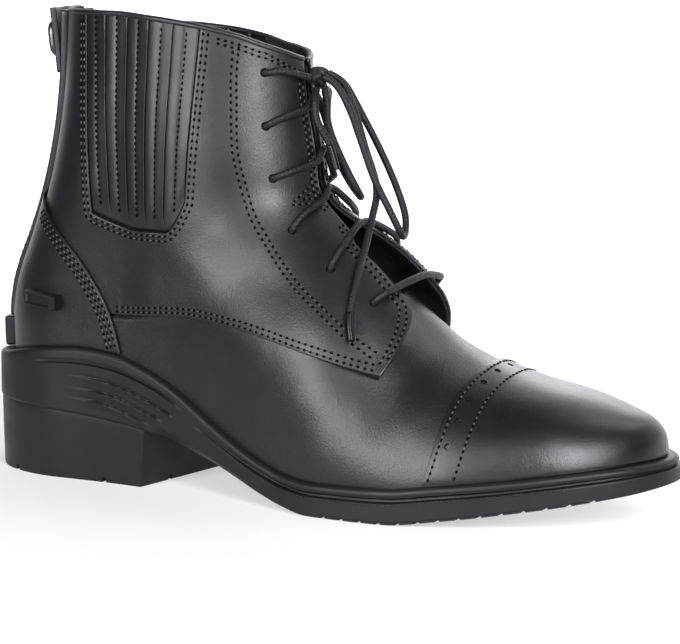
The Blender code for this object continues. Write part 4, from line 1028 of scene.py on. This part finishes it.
for side, word in SIDES:
    along = np.linspace(-1.0, 1.0, 41)[None, :]
    across = np.linspace(-1.0, 1.0, 17)[:, None]
    past = -along * BAR_HALF[0] - (BAR_HALF[0] - BAR_ROUND)
    end = np.sqrt(1.0 - np.clip(past / BAR_ROUND, 0.0, 0.995) ** 2)
    x = BAR_MIDDLE[0] + BAR_HALF[0] * along + 0.0 * across
    z = BAR_MIDDLE[1] - 0.2 * along + BAR_HALF[1] * across * end
    rim_ends = np.maximum(rise(-along, 0.72, 0.84), rise(along, 0.56, 0.66))
    rim = np.maximum(rise(np.abs(across), 0.5, 0.72), rim_ends)
    out = 2.8 + 1.3 * (along + 1.0) + 1.0 * rim - 0.5 * rise(np.abs(across), 0.86, 1.0)
    x, z = [np.pad(i, 1, "edge") for i in (x, z)]
    rows = skin(x, z, side, np.pad(out, 1, constant_values=0.9))
    bar = panel("rest_bar_" + word, rows, side, RUBBER)
    bm = bmesh.new()
    bm.from_mesh(bar.data)
    bmesh.ops.holes_fill(bm, edges=bm.edges)
    bmesh.ops.recalc_face_normals(bm, faces=bm.faces)
    bm.to_mesh(bar.data)
    bm.free()
    bar.data.shade_smooth()
    dressed(creased(bar, 50.0), "black_rubber", "spur_rest_" + word)

# Outsole
# One rubber unit cemented round the upper: a heel cup with a groove and three ribs, a plain waist, and a
# forefoot edge with a welt above a channel and a finely toothed line below it.

#  share of the height, offset of the side at the heel cup, and the same at the forefoot
CUP_SIDE = ((0, 0), (0.03, 0.35), (0.5, 0.3), (0.86, 0.3), (0.93, 0.1), (0.97, -0.4), (0.99, -1.0), (1, -1.7))
WELT_SIDE = (
    (0, -1.4), (0.05, -0.3), (0.12, 0), (0.57, 0), (0.61, -0.1), (0.632, -0.5), (0.64, -2.7), (0.70, -2.9),
    (0.72, -1.9), (0.76, -1.45), (0.84, -1.3), (0.92, -1.5), (0.97, -2.0), (1, -2.5),
)
#  share of the height where the rib starts, the same where it ends, and the x of its end
RIBS = ((0.225, 0.12, 84.0), (0.375, 0.29, 90.0), (0.56, 0.49, 96.0))
TEETH = {"share": 0.595, "x": (150.0, 256.0), "pitch": 1.05, "size": (1.5, 0.62)}
GROOVE = {"shares": (0.765, 0.82), "edge": 0.012, "x": (34.2, 35.4, 84.0, 102.0), "depth": 1.5}
groove_low, groove_high = GROOVE["shares"]
GROOVE_SHARES = (groove_low - GROOVE["edge"], groove_low, groove_high, groove_high + GROOVE["edge"])
#  x of the tread's first groove, the x where they end, and their pitch, width and depth
TREAD_X, TREAD_PITCH, TREAD_WIDTH, TREAD_DEPTH = (166.0, 268.0), 7.5, 2.2, 1.1


def cup_side(share, x):
    """Offset of the heel cup's side, with its ribs and its groove."""
    out = np.interp(share, *np.array(CUP_SIDE, float).T) + 0.0 * x
    for first, last, end in RIBS:
        above = share - first - (last - first) * rise(x, 62.0, end)
        step = np.interp(above, (-0.10, 0.0, 0.02, 0.06), (0.0, 0.5, -0.3, 0.0))
        out = out + step * rise(x, 46.0, 64.0) * (1.0 - rise(x, end - 2.0, end + 1.0))
    x1, x2, x3, x4 = GROOVE["x"]
    cut_in = np.interp(share, GROOVE_SHARES, (0.0, 1.0, 1.0, 0.0))
    out = out - GROOVE["depth"] * cut_in * rise(x, x1, x2) * (1.0 - rise(x, x3, x4))
    return out - 2.4 * np.maximum(0.0, 1.0 - share / 0.17) * rise(x, 84.0, 92.0)


def sole_rows(side, shares=()):
    """Rows of the sole's side from its lower edge to the rim, then in to the upper and down to the bed."""
    heel = back_x(46.0) + np.linspace(0.0, 1.0, 44) ** 2 * 52.0
    toe = TIP_X - np.linspace(1.0, 0.0, 60)[1:] ** 2 * (TIP_X - 200.0)
    x = np.concatenate([heel, np.linspace(61.0, 200.0, 116), toe])
    half = half_width(x, rim_z(x), side)
    half[[0, -1]] = 0.0
    y = centre_y(x) + side * half
    run_x, run_y = np.gradient(x), np.gradient(y)
    outward = np.stack([-run_y * side, run_x * side], -1)
    outward[[0, -1]] = ((-1.0, 0.0), (1.0, 0.0))
    outward /= np.linalg.norm(outward, axis=1, keepdims=True)
    keys = [row[0] for row in CUP_SIDE + WELT_SIDE] + [*np.arange(0.0, 0.64, 0.0125), *GROOVE_SHARES]
    share = np.unique(np.round(shares if len(shares) else keys, 4))[:, None]
    fore = np.interp(share, *np.array(WELT_SIDE, float).T)
    out = sole_margin(x) + cup_side(share, x) + (fore - cup_side(share, x)) * rise(x, 104.0, 150.0)
    low, top = under_z(x), rim_z(x)

    def ring(distance, z):
        place = (x + outward[:, 0] * distance, y + outward[:, 1] * distance, z)
        return np.stack(np.broadcast_arrays(*place), -1)

    outside = ring(out, low + (top - low) * share)
    return np.concatenate([outside, ring(0.3, top)[None], ring(-0.6, bed_z(x))[None]])


def solid_unit(name, sheet, breast=False):
    """Closed rubber block from the rows of its two sides, which meet at the back and at the toe or breast."""
    points, faces, (count, width) = both_sides(sheet)
    for row in (0, count - 1):
        left = row * width + np.arange(width - 1)
        ends = np.stack([left, left + count * width, left + count * width + 1, left + 1], -1)
        faces.append(ends[:, ::-1] if row else ends)
    if breast:
        left = np.arange(count - 1) * width + width - 1
        faces.append(np.stack([left, left + count * width, left + count * width + width, left + width], -1))
    return creased(built(name, points, np.concatenate(faces), RUBBER), 42.0)


def slots(boxes):
    """Closed boxes to cut grooves with, from their low and high corners."""
    corners = np.array([(i & 1, i >> 1 & 1, i >> 2 & 1) for i in range(8)])
    sides = np.array(((0, 2, 3, 1), (4, 5, 7, 6), (0, 1, 5, 4), (2, 6, 7, 3), (0, 4, 6, 2), (1, 3, 7, 5)))
    points = [np.array(low) + corners * (np.array(high) - np.array(low)) for low, high in boxes]
    faces = [sides + 8 * i for i in range(len(boxes))]
    return built("slots", np.concatenate(points), np.concatenate(faces), RUBBER)


outsole = solid_unit("sole_unit", sole_rows)
treads = []
for x in np.arange(*TREAD_X, TREAD_PITCH):
    treads.append(((x, -70.0, under_z(x) - 3.0), (x + TREAD_WIDTH, 70.0, under_z(x) + TREAD_DEPTH)))
dressed(cut(outsole, slots(treads)), "black_rubber", "outsole")
rows = []
for side, word in SIDES:
    edge = sole_rows(side, (TEETH["share"],))[0]
    length = lengths(edge)
    at = np.arange(*np.interp(TEETH["x"], edge[:, 0], length), TEETH["pitch"])
    points = np.stack([np.interp(at, length, edge[:, i]) for i in range(3)], -1)
    upward = np.broadcast_to((0.0, 0.0, 1.0), points.shape)
    rows.append((points, upward, np.cross(np.gradient(points, axis=0), upward) * -side))
stitches("sole_teeth", rows, TEETH["size"], RUBBER, "black_rubber")

# Heel
# A rubber block glued under the cup of the sole, tapered a little to its walking face. Grooves part that face
# into lugs and show as notches at its edge.

HEEL_HALF, HEEL_TAPER = 32.0, 1.2
BREAST_X, BREAST_ANGLE = 86.5, math.radians(10.0)
#  x of the grooves across the heel, y of those along it, and half the width of each
GROOVES_X, GROOVES_Y, GROOVE_HALF = (19.5, 62.3), (-16.0, 18.0), 1.0
#  share of the height, share of the taper
HEEL_SIDE = ((0, 1.3), (0.03, 1.05), (0.06, 0.98), (0.4, 0.6), (0.9, 0.22), (0.97, 0.2), (1, 0.3))


def heel_rows(side):
    line = sole_rows(side)[0]
    rows = []
    for share, taper in HEEL_SIDE:
        breast = BREAST_X + side * HEEL_HALF * math.tan(BREAST_ANGLE) + 3.0 * (share - 0.5)
        along = np.linspace(0.0, 1.0, 48) ** 2
        x = line[0, 0] + along * (breast - line[0, 0])
        half = np.interp(x, line[:, 0], np.abs(line[:, 1])) * (1.0 - taper * HEEL_TAPER / HEEL_HALF)
        x = x + taper * HEEL_TAPER * 0.15 * (1.0 - along)
        half[0] = 0.0
        rows.append(np.stack([x, side * half, share * (under_z(x) - 0.3)], -1))
    return np.array(rows)


heel = solid_unit("heel_block", heel_rows, True)
cut(heel, slots([((x - GROOVE_HALF, -60.0, -1.0), (x + GROOVE_HALF, 60.0, 2.0)) for x in GROOVES_X]))
cut(heel, slots([((-20.0, y - GROOVE_HALF, -1.0), (120.0, y + GROOVE_HALF, 1.9)) for y in GROOVES_Y]))
dressed(heel, "black_rubber", "heel")

# Insole
# The footbed inside the boot, a padded board covered with lining leather. It is glued to the bed of the sole,
# between the walls of the upper.

INSOLE_THICKNESS, INSOLE_MARGIN = 2.8, 3.0
x = np.concatenate([np.linspace(11.5, 60, 30), np.linspace(62, 276.0, 90)])[None, :]
across = np.linspace(-1.0, 1.0, 21)[:, None]
halves = [np.maximum(half_width(x, bed_z(x) + 0.3, side) - INSOLE_MARGIN, 0.5) for side, word in SIDES]
y = centre_y(x) + across * np.where(across < 0, halves[0], halves[1])
rows = np.stack(np.broadcast_arrays(x, y, bed_z(x) + 3.3), -1)
dressed(thickened(panel("footbed", rows, MEDIAL, LINING), INSOLE_THICKNESS, 0.5), "dark_lining", "insole")

# Lace
# One round waxed cord. It crosses from eyelet to eyelet, is tied in a bow in front of the top of the facings,
# and its loops and ends hang free, each end closed by a crimped tip.

LACE_RADIUS = 1.4
TIP_LENGTH, TIP_RADIUS = 11.0, 1.5
#  share of the way from an eyelet to the facing's edge, height over the leather
LACE_HEIGHTS = ((-0.06, -2.4), (0, -0.4), (0.14, 1.4), (0.5, 2.5), (1, 2.5))
#  how far a crossing's middle lies above its eyelets, as a share of the facing
CROSSING_LIFT = 0.07
#  turn of the plait's waves, in radians, over a millimetre along the cord and over its girth
PLAIT_ALONG, PLAIT_AROUND = 4.2, 25.13


def worked_out(tree, operation, *values):
    """Result of a math node."""
    return add_node(tree, "ShaderNodeMath", enumerate(values), operation=operation).outputs[0]


CORD, tree, shader, place = patchy_look("waxed_cord", (0.006, 0.006, 0.007), 300.0, 0.42, 0.6, 0.22)
on_cord = add_node(tree, "ShaderNodeTexCoord").outputs["UV"]
on_cord = add_node(tree, "ShaderNodeSeparateXYZ", (("Vector", on_cord),)).outputs
waves = []
for sign in (1.0, -1.0):
    along = worked_out(tree, "MULTIPLY", on_cord["X"], PLAIT_ALONG)
    turn = worked_out(tree, "MULTIPLY_ADD", on_cord["Y"], sign * PLAIT_AROUND, along)
    waves.append(worked_out(tree, "SINE", turn))
normal = bumped(tree, worked_out(tree, "MAXIMUM", *waves), 0.06)
set_inputs(shader, (("Normal", bumped(tree, cloudy(tree, place, 2200.0, 3.0), 0.06, normal)),))
TIP_PLASTIC = patchy_look("lace_tip_plastic", (0.003, 0.003, 0.0035), 500.0, 0.22, 0.4, 0.2)[0]


def half_crossing(index, side, lift):
    """From inside an eyelet over the quarter to the front edge of its facing."""
    level, inset = EYELETS[index]
    edge = depth_at(facing_gap(level) + 3.0)
    route = []
    for share, out in LACE_HEIGHTS:
        x, z = facing_place(level + 0.5 * lift * max(share, 0.0), side, inset + (edge - inset) * share)
        route.append(on_leather(x, z, side, raise_at(x, z, side) + out)[0][0])
    return route


def crossing_route(index, lift):
    level = EYELETS[index][0] + lift
    x, z = facing_place(level, LATERAL, 0.0)
    x, z = facing_place(level, LATERAL, -raise_at(x, z) - LACE_RADIUS - 1.1)
    middle = np.array((x, centre_y(x), z))
    return half_crossing(index, LATERAL, lift) + [middle] + half_crossing(index, MEDIAL, lift)[::-1]


lace_parts = [("bar", crossing_route(0, 0.0))]
lace_parts += [(f"crossing_{i}", crossing_route(i, CROSSING_LIFT)) for i in range(1, 5)]
for side, word in SIDES:
    lace_parts.append(("top_" + word, half_crossing(5, side, 0.0)[:4] + [(139.6, side * 5.2, 159.5)]))
for name, route in lace_parts:
    dressed(tube("cord_" + name, route_points(route), LACE_RADIUS, CORD), "waxed_cord", "lace_" + name)

KNOT_X, KNOT_Z = 140.3, 159.4
turn = np.linspace(0.0, 2.0 * math.pi, 90)
knot_line = np.stack([
    KNOT_X - 2.0 * np.sin(3.0 * turn), 1.35 * (np.cos(turn) - 2.0 * np.cos(2.0 * turn)),
    KNOT_Z + 1.0 * (np.sin(turn) + 2.0 * np.sin(2.0 * turn)),
], -1)
dressed(tube("cord_knot", knot_line, LACE_RADIUS, CORD), "waxed_cord", "lace_knot")

LOOP_FRONT = (
    (143.8, 3.4, 160), (148, 7, 156.6), (154, 9.6, 145), (161, 11.2, 131.6), (167.2, 12, 118.4),
    (171.4, 11.6, 107.6), (173.2, 8.4, 101.4), (174.2, 4.6, 99.8), (174.6, 0.8, 102.2), (171.2, -1.8, 110.8),
    (165, -2, 122.2), (160, -2.2, 135), (155, -2.4, 147.6), (149.6, -2.6, 156.4), (144.1, -3, 160),
)
END_FRONT = (
    (144.3, 0.2, 161.3), (149.6, 2.4, 157.2), (154, 3.6, 146.4), (158.2, 4, 133), (162.6, 3.6, 121.4),
    (164, 2, 114.6), (164.6, -2.4, 108), (166, -8.6, 101.8), (167.6, -15, 96.6), (169.2, -22.2, 91),
    (170.4, -28.2, 84.6), (171, -32.8, 78.4), (172, -36.2, 72.2), (173.8, -38.4, 66),
)
LOOP_SIDE = (
    (142.5, 0.6, 154.6), (144, -0.2, 149.6), (144.4, -0.8, 144.6), (145.8, -1, 139.2), (148.8, -0.6, 132),
    (153, 0, 123.6), (155.8, 1.8, 117.2), (155.4, 6, 113.8), (151.4, 11.8, 113.8), (145.4, 17.8, 116.4),
    (138.8, 23.2, 121.4), (132.6, 27.2, 128.6), (129.4, 28.8, 137.4), (130.4, 26.4, 145.6),
    (134.2, 20, 150.8), (138.2, 12.6, 153), (140.4, 4.5, 155.2),
)
END_SIDE = (
    (141.1, -3.2, 155.3), (142.8, -7.6, 150.4), (143.6, -8.6, 145.4), (145.4, -8.2, 140.8),
    (148, -7.4, 136.4), (150, -7, 130.4), (151.6, -7, 125.2),
)
for name, route, far_end in (
    ("loop_front", LOOP_FRONT, "knot"), ("end_front", END_FRONT, "fitting"),
    ("loop_side", LOOP_SIDE, "knot"), ("end_side", END_SIDE, "fitting"),
):
    line = route_points(route)
    cord = dressed(tube("cord_" + name, line, LACE_RADIUS, CORD), "waxed_cord", "lace_" + name)
    if far_end == "fitting":
        length = lengths(line)
        tip = line[length > length[-1] - TIP_LENGTH]
        dressed(tube("tip_" + name, tip, TIP_RADIUS, TIP_PLASTIC), "waxed_cord")

# Studio
# A paper floor and backdrop, wide soft boxes, and the camera at the photo's angle. The floor glows behind the
# boot, and its left front part, outside the picture, is darker so that the leather mirrors less of it.

WHITE = (1.0, 1.0, 1.0, 1.0)
#  metres behind the boot over which the floor turns pale, and over which it comes to its full glow
PALE, GLOW = (-0.34, -0.15), (-0.02, 0.3)
dark_grey, pale_grey = (0.1, 0.1, 0.1), (0.4, 0.4, 0.4)
PAPER, tree, shader, place = new_look("studio_paper", pale_grey, 0.9)
back = add_node(tree, "ShaderNodeVectorMath", ((0, place), (1, (0.55, 0.83, 0.0))), operation="DOT_PRODUCT")
back = back.outputs["Value"]
pale = spread(tree, back, 0.0, 1.0, *PALE)
near, far = spread(tree, pale, 0.0, 0.36, 0.0, 1.0), spread(tree, back, 0.0, 0.6, *GLOW)
set_inputs(shader, (
    ("Base Color", tinted(tree, pale, dark_grey, pale_grey, 0.0, 1.0)), ("Emission Color", WHITE),
    ("Emission Strength", worked_out(tree, "ADD", near, far))))
WALL, tree, shader, place = new_look("studio_wall", (0.9, 0.9, 0.9), 0.9)
set_inputs(shader, (("Emission Color", WHITE), ("Emission Strength", 0.95)))
for name, corners, look in (
    ("floor", ((-4, -4, 0), (4, -4, 0), (4, 4, 0), (-4, 4, 0)), PAPER),
    ("backdrop", ((-4, 1.5, 0), (4, 1.5, 0), (4, 1.5, 3), (-4, 1.5, 3)), WALL),
):
    mesh = bpy.data.meshes.new(name)
    mesh.from_pydata(corners, [], [(0, 1, 2, 3)])
    shown(name, mesh, look)
world = bpy.data.worlds.new("studio")
bpy.context.scene.world = world
world.use_nodes = True
set_inputs(world.node_tree.nodes["Background"], (("Color", WHITE), ("Strength", 0.04)))
bpy.context.scene.view_settings.view_transform = "Standard"

LAMP_AIM, LAMP_COLOUR = Vector((0.1, 0.0, 0.07)), (1.0, 0.975, 1.04)
#  name, place, width and height, power
SOFT_BOXES = (
    ("key_box", (-0.2, -1.3, 0.49), (0.65, 0.8), 28.0), ("front_box", (1.02, -0.91, 0.58), (0.3, 0.8), 31.0),
    ("rim_box", (-0.17, 1.22, 0.7), (0.5, 0.4), 2.8), ("side_box", (0.57, 0.52, 1.27), (0.5, 0.5), 3.8),
)
for name, place, size, power in SOFT_BOXES:
    lamp = bpy.data.lights.new(name, "AREA")
    lamp.shape = "RECTANGLE"
    lamp.size, lamp.size_y = size
    lamp.energy = power
    lamp.color = LAMP_COLOUR
    box = placed(name, lamp)
    box.location = place
    box.rotation_euler = (LAMP_AIM - Vector(place)).to_track_quat("-Z", "Y").to_euler()

FOCAL_PIXELS, PICTURE_PIXELS = 2924.0, 680.0
CAMERA_TARGET, CAMERA_DISTANCE = Vector((0.1076, -0.0003, 0.0656)), 1.125
azimuth, elevation = math.radians(27.2), math.radians(9.5)
camera_data = bpy.data.cameras.new("camera")
camera_data.sensor_width = 36.0
camera_data.lens = FOCAL_PIXELS * camera_data.sensor_width / PICTURE_PIXELS
camera = placed("camera", camera_data)
away = Vector((
    math.sin(azimuth) * math.cos(elevation), -math.cos(azimuth) * math.cos(elevation), math.sin(elevation)))
camera.location = CAMERA_TARGET + away * CAMERA_DISTANCE
camera.rotation_euler = (-away).to_track_quat("-Z", "Y").to_euler()
bpy.context.scene.camera = camera
